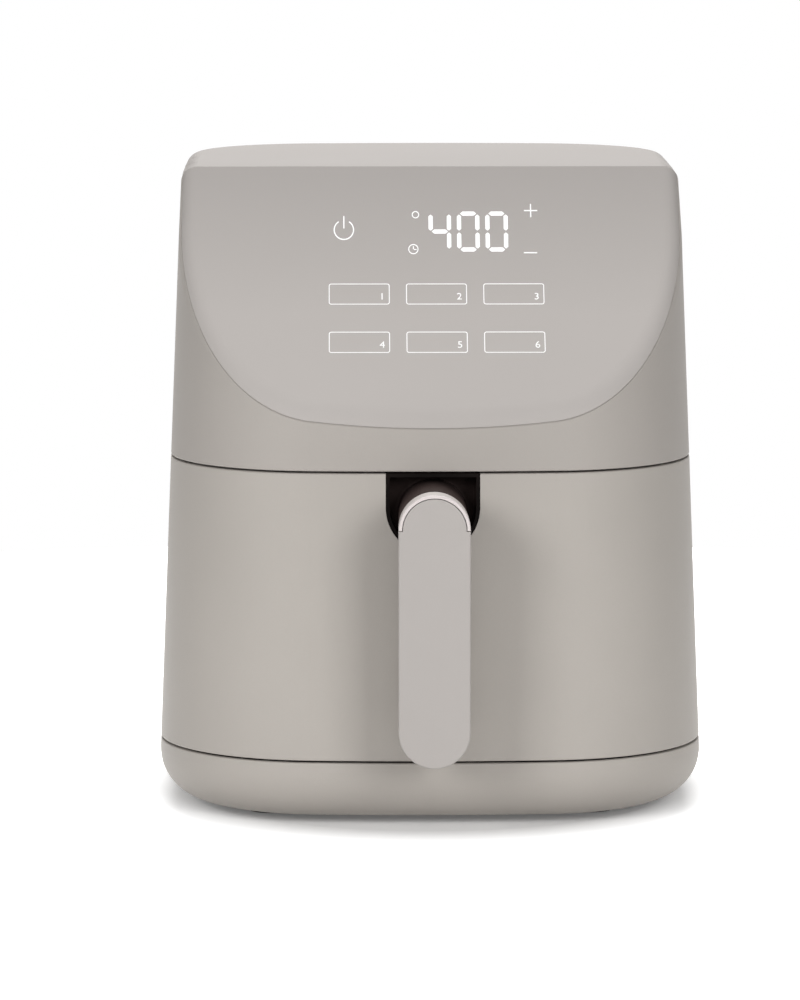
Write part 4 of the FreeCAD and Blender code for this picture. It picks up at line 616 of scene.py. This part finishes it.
def panel_matrix():
    """From marks laid flat, across and up from the panel's top edge, to the sloped panel."""
    mesh = NODES["top_cover"].data
    sloped = [
        face for face in mesh.polygons
        if face.normal.y < -PANEL_FORWARDS and face.normal.z > PANEL_UPWARDS]
    face = max(sloped, key=lambda item: item.area)
    out = face.normal.normalized()
    up = out.cross(Vector((1, 0, 0))).normalized()
    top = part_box("top_cover")[1].z
    start = face.center + up * ((top - face.center.z) / up.z)
    turned = Matrix((Vector((1, 0, 0)), up, out)).transposed().to_4x4()
    return Matrix.Translation(Vector((0, start.y, start.z))) @ turned


def flat_bar(bm, middle, width, height, cut=0.0):
    """A flat bar, with its corners cut."""
    made = bmesh.ops.create_grid(bm, x_segments=1, y_segments=1, size=0.5)["verts"]
    bmesh.ops.scale(bm, vec=(width, height, 1), verts=made)
    bmesh.ops.translate(bm, vec=(*middle, 0), verts=made)
    if cut:
        bmesh.ops.bevel(
            bm, geom=made, offset=cut, offset_type="OFFSET", affect="VERTICES", segments=1, profile=0.5,
            material=-1)


def flat_ring(bm, middle, radius, line, start, turn, stretch):
    """A flat ring or part of one, stretched upwards."""
    way = Vector((math.cos(start), math.sin(start), 0))
    inner = bm.verts.new(way * (radius - line / 2))
    outer = bm.verts.new(way * (radius + line / 2))
    side = bm.edges.new((inner, outer))
    before = set(bm.verts) - {inner, outer}
    bmesh.ops.spin(
        bm, geom=[inner, outer, side], cent=(0, 0, 0), axis=(0, 0, 1), angle=turn, steps=RING_STEPS,
        use_merge=math.isclose(turn, math.tau))
    made = [vert for vert in bm.verts if vert not in before]
    bmesh.ops.scale(bm, vec=(1, stretch, 1), verts=made)
    bmesh.ops.translate(bm, vec=(*middle, 0), verts=made)


def flat_frame(bm, left, top, width, height, corner, line):
    """The outline of a rounded rectangle."""
    made = bmesh.ops.create_grid(bm, x_segments=1, y_segments=1, size=0.5)["verts"]
    bmesh.ops.scale(bm, vec=(width, height, 1), verts=made)
    bmesh.ops.translate(bm, vec=(left + width / 2, -top - height / 2, 0), verts=made)
    before = set(bm.faces) - set(made[0].link_faces)
    bmesh.ops.bevel(
        bm, geom=made, offset=corner, offset_type="OFFSET", affect="VERTICES", segments=CORNER_STEPS,
        profile=0.5, material=-1)
    plate = [face for face in bm.faces if face not in before]
    bmesh.ops.inset_region(bm, faces=plate, thickness=line, use_even_offset=True, use_boundary=True)
    bmesh.ops.delete(bm, geom=plate, context="FACES")


def flat_text(bm, words, right, low, height):
    """Plain figures that end at a right edge and stand on a line."""
    curve = bpy.data.curves.new("figures", "FONT")
    curve.body = words
    curve.align_x = "RIGHT"
    curve.size = height / FIGURE_HEIGHT
    curve.resolution_u = FIGURE_STEPS
    holder = bpy.data.objects.new("figures", curve)
    bpy.context.scene.collection.objects.link(holder)
    bpy.context.view_layer.update()
    mesh = bpy.data.meshes.new_from_object(holder.evaluated_get(bpy.context.evaluated_depsgraph_get()))
    mesh.transform(Matrix.Translation((right, low, 0)))
    bm.from_mesh(mesh)
    bpy.data.meshes.remove(mesh)
    bpy.data.objects.remove(holder)
    bpy.data.curves.remove(curve)


def digit(bm, marks, figure, left):
    """One seven-bar digit."""
    wide = marks.digit_stroke
    tall = wide * marks.stretch
    right = left + marks.digit_width
    top = -marks.digit_top
    low = top - marks.digit_height
    middle = (top + low) / 2
    across = marks.digit_width - wide - 2 * marks.digit_gap
    reach = marks.digit_height / 2 - tall / 2 - 2 * marks.digit_gap
    centre = (left + right) / 2
    high_side = (top - tall / 2 + middle) / 2
    low_side = (low + tall / 2 + middle) / 2
    bars = {
        "a": (centre, top - tall / 2, across, tall), "g": (centre, middle, across, tall),
        "d": (centre, low + tall / 2, across, tall), "b": (right - wide / 2, high_side, wide, reach),
        "f": (left + wide / 2, high_side, wide, reach), "c": (right - wide / 2, low_side, wide, reach),
        "e": (left + wide / 2, low_side, wide, reach),
    }
    for name in DIGIT_BARS[figure]:
        x, y, width, height = bars[name]
        flat_bar(bm, (x, y), width, height, BAR_CUT * min(width, height))


def mark_piece(name, bm, marks, finish):
    """Thickens flat marks, lays them on the panel and hands them over as one piece."""
    faces = bm.faces[:]
    bmesh.ops.recalc_face_normals(bm, faces=faces)
    for face in faces:
        if face.normal.z < 0:
            face.normal_flip()
    raised = bmesh.ops.extrude_face_region(bm, geom=faces)["geom"]
    upper = [item for item in raised if isinstance(item, bmesh.types.BMVert)]
    bmesh.ops.translate(bm, vec=(0, 0, marks.lift), verts=upper)
    bmesh.ops.recalc_face_normals(bm, faces=bm.faces[:])
    bmesh.ops.transform(bm, matrix=panel_matrix(), verts=bm.verts[:])
    new_piece(name, bm, "housing", finish)


def new_piece(name, bm, body, finish):
    """A finished mesh as a piece that rides on a body."""
    mesh = bpy.data.meshes.new(name)
    bm.to_mesh(mesh)
    bm.free()
    piece = bpy.data.objects.new(name, mesh)
    bpy.context.scene.collection.objects.link(piece)
    cover(piece, finish)
    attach(piece, body)
    return piece


def cross_screw(bm, screws, reach, matrix):
    """A screw with a domed head, a cross recess and a pointed shank, placed by its matrix."""
    known = set(bm.verts)
    disc = bmesh.ops.create_grid(bm, x_segments=SCREW_CELLS, y_segments=SCREW_CELLS, size=1.0)["verts"]
    cell = 2 / SCREW_CELLS
    faces = {face for vert in disc for face in vert.link_faces}
    rim = list({edge for vert in disc for edge in vert.link_edges if edge.is_boundary})
    cross = []
    for face in faces:
        near, far = sorted(abs(side) for side in face.calc_center_median().xy)
        if near < cell / 2 and far < cell * 1.5:
            cross.append(face)
    for vert in disc:
        ring = max(abs(vert.co.x), abs(vert.co.y))
        vert.co.xy = vert.co.xy.normalized() * ring * screws.head_radius * screws.dome_width
        vert.co.z = screws.head_height * (1 - screws.dome_drop * ring * ring)
    sunk = bmesh.ops.extrude_face_region(bm, geom=cross)["geom"]
    floor = [item for item in sunk if isinstance(item, bmesh.types.BMVert)]
    bmesh.ops.translate(bm, vec=(0, 0, -screws.recess_depth), verts=floor)
    bmesh.ops.scale(bm, vec=(screws.recess_taper, screws.recess_taper, 1), verts=floor)
    steps = (
        (screws.head_radius, screws.head_height * screws.side_height), (screws.head_radius, 0),
        (screws.shank_radius, 0), (screws.shank_radius, -reach * screws.point_start),
        (screws.shank_radius * screws.point_width, -reach))
    for radius, level in steps:
        grown = bmesh.ops.extrude_edge_only(bm, edges=rim)["geom"]
        rim = [item for item in grown if isinstance(item, bmesh.types.BMEdge)]
        for vert in {vert for edge in rim for vert in edge.verts}:
            vert.co.xy = vert.co.xy.normalized() * radius
            vert.co.z = level
    bmesh.ops.holes_fill(bm, edges=rim)
    made = [vert for vert in bm.verts if vert not in known]
    bmesh.ops.transform(bm, matrix=matrix, verts=made)


# Operators


class FRYER_OT_mouldings(bpy.types.Operator):
    """Finish the pale moulded body, panel, handle and trim"""

    bl_idname = "fryer.mouldings"
    bl_label = "Finish Mouldings"

    def execute(self, context):
        look = context.scene.fryer_finishes
        dress("body_plastic", moulding("moulded_body", look.body, look.body_gloss, look.grain))
        cover(NODES["outer_shell"], moulding("moulded_shell", look.shell, look.body_gloss, look.grain))
        low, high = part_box("top_cover")
        # Painted shade on the touch panel, darker towards the top cover's top
        fade = (low.z + look.painted_shade_start * (high.z - low.z), high.z, 1 - look.panel_painted_shade)
        dress("panel_plastic", moulding(
            "satin_panel", look.panel, look.panel_gloss, look.grain / 4, fineness=2400.0, spread=0.015,
            shine=0.08, fade=fade))
        grip = {
            "roughness": look.handle_gloss, "grain": look.grain / 2, "fineness": 2000.0, "spread": 0.02}
        dress("handle_plastic", moulding("satin_handle", look.handle, **grip))
        low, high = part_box("handle_trim")
        # Painted light on the grip, paler towards the top of the trim
        painted_crown = (low.z, high.z, look.crown_painted_light)
        cover(NODES["handle_shell"], moulding("satin_grip", look.handle, fade=painted_crown, **grip))
        dress("trim_plastic", moulding(
            "pale_trim", look.trim, look.trim_gloss, look.grain / 6, fineness=2000.0, spread=0.015))
        return {"FINISHED"}


class FRYER_OT_dark_parts(bpy.types.Operator):
    """Finish the dark mouldings, the rubber feet and the tray's bumpers"""

    bl_idname = "fryer.dark_parts"
    bl_label = "Finish Dark Parts"

    def execute(self, context):
        look = context.scene.fryer_finishes
        dress("dark_plastic", moulding(
            "dark_moulding", look.dark, look.dark_gloss, look.grain * 2, fineness=1100.0, spread=0.12,
            shine=0.1))
        # The handle's cup gets painted light on its inside and neck and painted shade on its rim
        cover(NODES["handle_bracket"], cup_moulding("cup_moulding", look))
        dress("foot_rubber", soft_rubber("foot_rubber", look.rubber, roughness=0.75))
        dress("tray_silicone", soft_rubber("bumper_silicone", look.silicone, roughness=0.55))
        return {"FINISHED"}


class FRYER_OT_metals(bpy.types.Operator):
    """Finish the sheet metal, plated steel, heater, motor and fans"""

    bl_idname = "fryer.metals"
    bl_label = "Finish Metals"

    def execute(self, context):
        look = context.scene.fryer_finishes
        dress("chamber_steel", sheet_zinc("galvanised_sheet", look.zinc))
        dress("screw_steel", plated_steel("plated_steel", look.plated))
        dress("heater_tube", oxidised_tube("oxidised_tube", look.tube, look.heat_brown, look.heat_blue))
        dress("bushing_ceramic", unglazed_ceramic("unglazed_ceramic", look.ceramic, look.ceramic_speck))
        dress("motor_steel", laminated_steel("laminated_steel", look.motor))
        dress("fan_aluminium", spun_aluminium("spun_aluminium", look.aluminium))
        return {"FINISHED"}


class FRYER_OT_pan_and_tray(bpy.types.Operator):
    """Finish the pan and the lift-out tray"""

    bl_idname = "fryer.pan_and_tray"
    bl_label = "Finish Pan and Tray"

    def execute(self, context):
        look = context.scene.fryer_finishes
        dress("nonstick", nonstick("nonstick_coating", look.coating, look.coating_fleck))
        return {"FINISHED"}


class FRYER_OT_boards(bpy.types.Operator):
    """Finish the circuit boards and what sits on them"""

    bl_idname = "fryer.boards"
    bl_label = "Finish Boards"

    def execute(self, context):
        look = context.scene.fryer_finishes
        dress("board_green", circuit_board("circuit_board", look.board, look.board_track))
        dress("component_plastic", moulding(
            "component_body", look.component, roughness=0.35, grain=look.grain, fineness=900.0,
            spread=0.08))
        return {"FINISHED"}


class FRYER_OT_display(bpy.types.Operator):
    """Add the lit reading with its degree ring and clock mark"""

    bl_idname = "fryer.display"
    bl_label = "Add Display"

    def execute(self, context):
        look = context.scene.fryer_finishes
        marks = context.scene.fryer_marks
        bm = bmesh.new()
        for place, figure in enumerate(f"{marks.reading:03d}"):
            digit(bm, marks, figure, marks.digit_left + place * marks.digit_pitch)
        ring = (marks.degree[0], -marks.degree[1])
        line = marks.line * marks.degree_line
        flat_ring(bm, ring, marks.degree_radius, line, 0.0, math.tau, marks.stretch)
        clock = Vector((marks.clock[0], -marks.clock[1]))
        line = marks.line * marks.clock_line
        flat_ring(bm, clock, marks.clock_radius, line, 0.0, math.tau, marks.stretch)
        hand = marks.clock_radius * marks.clock_hand
        flat_bar(bm, clock + Vector((0, hand * marks.stretch / 2)), line, hand * marks.stretch)
        flat_bar(bm, clock + Vector((hand / 2 + line / 2, -line / 2)), hand, line)
        mark_piece("panel_display", bm, marks, lit_mark("lit_display", look.mark, look.glow))
        return {"FINISHED"}


class FRYER_OT_keys(bpy.types.Operator):
    """Add the six outlined keys with plain numbers"""

    bl_idname = "fryer.keys"
    bl_label = "Add Keys"

    def execute(self, context):
        look = context.scene.fryer_finishes
        marks = context.scene.fryer_marks
        bm = bmesh.new()
        for number in range(KEY_ROWS * KEY_COLUMNS):
            row, column = divmod(number, KEY_COLUMNS)
            left = marks.key_left + column * marks.key_pitch
            top = marks.key_top + row * marks.key_drop
            flat_frame(bm, left, top, marks.key_width, marks.key_height, marks.key_corner, marks.key_line)
            right = left + marks.key_width - marks.number_inset
            low = marks.number_rise - top - marks.key_height
            flat_text(bm, str(number + 1), right, low, marks.number_height)
        mark_piece("panel_keys", bm, marks, lit_mark("lit_keys", look.mark, look.glow * look.key_glow))
        return {"FINISHED"}


class FRYER_OT_symbols(bpy.types.Operator):
    """Add the power, plus and minus marks"""

    bl_idname = "fryer.symbols"
    bl_label = "Add Symbols"

    def execute(self, context):
        look = context.scene.fryer_finishes
        marks = context.scene.fryer_marks
        bm = bmesh.new()
        power = Vector((marks.power[0], -marks.power[1]))
        start = math.pi / 2 + marks.power_gap / 2
        turn = math.tau - marks.power_gap
        flat_ring(bm, power, marks.power_radius, marks.line, start, turn, marks.stretch)
        tall = marks.power_radius * marks.stretch
        flat_bar(bm, power + Vector((0, tall * marks.power_rise)), marks.line, tall * marks.power_stem)
        arm = 2 * marks.level_arm
        thick = marks.line * marks.stretch
        plus = Vector((marks.plus[0], -marks.plus[1]))
        flat_bar(bm, plus, arm, thick)
        half = (arm * marks.stretch - thick) / 2
        for side in (1, -1):
            flat_bar(bm, plus + Vector((0, side * (thick + half) / 2)), marks.line, half)
        flat_bar(bm, Vector((marks.minus[0], -marks.minus[1])), arm, thick)
        mark_piece("panel_symbols", bm, marks, lit_mark("lit_symbols", look.mark, look.glow))
        return {"FINISHED"}


class FRYER_OT_screws(bpy.types.Operator):
    """Replace the plain screws by ones with cross recesses"""

    bl_idname = "fryer.screws"
    bl_label = "Add Screws"

    def execute(self, context):
        screws = context.scene.fryer_screws
        finish = plated_steel("screw_plating", context.scene.fryer_finishes.plated)
        for node, axis in (("base_screws", "Z"), ("panel_screws", "Y"), ("handle_screws", "Y")):
            low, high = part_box(node)
            bm = bmesh.new()
            for place in self.places(low, high, axis, screws):
                reach = high.z - place.z if axis == "Z" else place.y - low.y
                cross_screw(bm, screws, reach, Matrix.Translation(place) @ SCREW_TURN[axis])
            bmesh.ops.recalc_face_normals(bm, faces=bm.faces[:])
            piece = new_piece(f"cross_{node}", bm, body_of(NODES[node])[0], finish)
            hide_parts(node)
        return {"FINISHED"}

    def places(self, low, high, axis, screws):
        """Middle of each head's seat, from the box round a node's screws."""
        radius = screws.head_radius
        for x in sorted({round(low.x + radius, 5), round(high.x - radius, 5)}):
            if axis == "Z":
                for y in (low.y + radius, high.y - radius):
                    yield Vector((x, y, low.z + screws.head_height))
            else:
                for z in (low.z + radius, high.z - radius):
                    yield Vector((x, high.y - screws.head_height, z))


class FRYER_OT_stage(bpy.types.Operator):
    """Set up the floor, softboxes, even light and camera"""

    bl_idname = "fryer.stage"
    bl_label = "Set Stage"

    def execute(self, context):
        scene = context.scene
        stage = scene.fryer_stage
        scene.view_settings.view_transform = "Standard"
        self.add_floor(scene, stage)
        self.add_world(scene, stage)
        for name, (setting, place, width) in SOFTBOXES.items():
            self.add_lamp(scene, name, place, width, getattr(stage, setting))
        camera = bpy.data.cameras.new("photo_camera")
        camera.lens = stage.focal
        camera.sensor_width = SENSOR_WIDTH
        camera.clip_end = VIEW_REACH
        holder = bpy.data.objects.new("photo_camera", camera)
        holder.location = stage.camera_place
        holder.rotation_euler = Euler(stage.camera_turn)
        scene.collection.objects.link(holder)
        scene.camera = holder
        return {"FINISHED"}

    def add_lamp(self, scene, name, place, width, power):
        """A square softbox that faces the object."""
        lamp = bpy.data.lights.new(name, "AREA")
        lamp.size = width
        lamp.energy = power
        holder = bpy.data.objects.new(name, lamp)
        holder.location = place
        holder.rotation_euler = (Vector(place) - LAMP_AIM).to_track_quat("Z", "Y").to_euler()
        scene.collection.objects.link(holder)

    def add_floor(self, scene, stage):
        """A pale round floor that turns white towards its rim for the camera."""
        finish = Finish("pale_floor")
        rays = finish.node("ShaderNodeLightPath").outputs
        seen = finish.sum(rays["Is Camera Ray"], rays["Is Glossy Ray"], rays["Is Transmission Ray"])
        far = finish.distance(finish.place)
        glow = finish.span(far, low=stage.floor_glow, start=stage.shadow_start, end=stage.shadow_end)
        finish.set(
            Base_Color=finish.mix(finish.noise(30.0), *FLOOR_TONES), Roughness=0.9,
            Emission_Color=WHITE, Emission_Strength=finish.times(seen, glow), Specular_IOR_Level=0.1)
        bm = bmesh.new()
        bmesh.ops.create_circle(bm, cap_ends=True, segments=FLOOR_STEPS, radius=stage.floor_radius)
        mesh = bpy.data.meshes.new("floor")
        bm.to_mesh(mesh)
        bm.free()
        floor = bpy.data.objects.new("floor", mesh)
        scene.collection.objects.link(floor)
        cover(floor, finish)

    def add_world(self, scene, stage):
        """White for the camera and for reflections, an even fill for the rest."""
        world = bpy.data.worlds.new("studio")
        world.use_nodes = True
        nodes = world.node_tree.nodes
        links = world.node_tree.links
        rays = nodes.new("ShaderNodeLightPath").outputs
        shown = rays["Is Camera Ray"]
        for kind in ("Is Glossy Ray", "Is Transmission Ray"):
            both = nodes.new("ShaderNodeMath")
            both.operation = "ADD"
            links.new(shown, both.inputs[0])
            links.new(rays[kind], both.inputs[1])
            shown = both.outputs[0]
        level = nodes.new("ShaderNodeMapRange")
        level.inputs["To Min"].default_value = stage.fill
        level.inputs["To Max"].default_value = 1.0
        links.new(shown, level.inputs["Value"])
        background = nodes["Background"]
        background.inputs["Color"].default_value = WHITE
        links.new(level.outputs["Result"], background.inputs["Strength"])
        scene.world = world


STEPS = (
    FRYER_OT_mouldings, FRYER_OT_dark_parts, FRYER_OT_metals, FRYER_OT_pan_and_tray, FRYER_OT_boards,
    FRYER_OT_display, FRYER_OT_keys, FRYER_OT_symbols, FRYER_OT_screws, FRYER_OT_stage,
)

GROUPS = {
    "fryer_finishes": FryerFinishes, "fryer_marks": FryerMarks, "fryer_screws": FryerScrews,
    "fryer_stage": FryerStage,
}


class FRYER_PT_panel(bpy.types.Panel):
    """Steps and settings of the air fryer"""

    bl_idname = "FRYER_PT_panel"
    bl_label = "Air Fryer"
    bl_space_type = "VIEW_3D"
    bl_region_type = "UI"
    bl_category = "Air Fryer"

    def draw(self, context):
        for step in STEPS:
            self.layout.operator(step.bl_idname)
        for name, group in GROUPS.items():
            box = self.layout.box()
            box.label(text=group.__doc__)
            for setting in group.__annotations__:
                box.prop(getattr(context.scene, name), setting)


def register():
    """Registers the settings, steps and panel."""
    for name, group in GROUPS.items():
        bpy.utils.register_class(group)
        setattr(bpy.types.Scene, name, bpy.props.PointerProperty(type=group))
    for step in (*STEPS, FRYER_PT_panel):
        bpy.utils.register_class(step)


def unregister():
    """Removes the panel, steps and settings."""
    for step in (FRYER_PT_panel, *reversed(STEPS)):
        bpy.utils.unregister_class(step)
    for name, group in reversed(GROUPS.items()):
        delattr(bpy.types.Scene, name)
        bpy.utils.unregister_class(group)


def main():
    """Runs every step in order."""
    register()
    for step in STEPS:
        family, name = step.bl_idname.split(".")
        getattr(getattr(bpy.ops, family), name)()


if __name__ == "__main__":
    main()
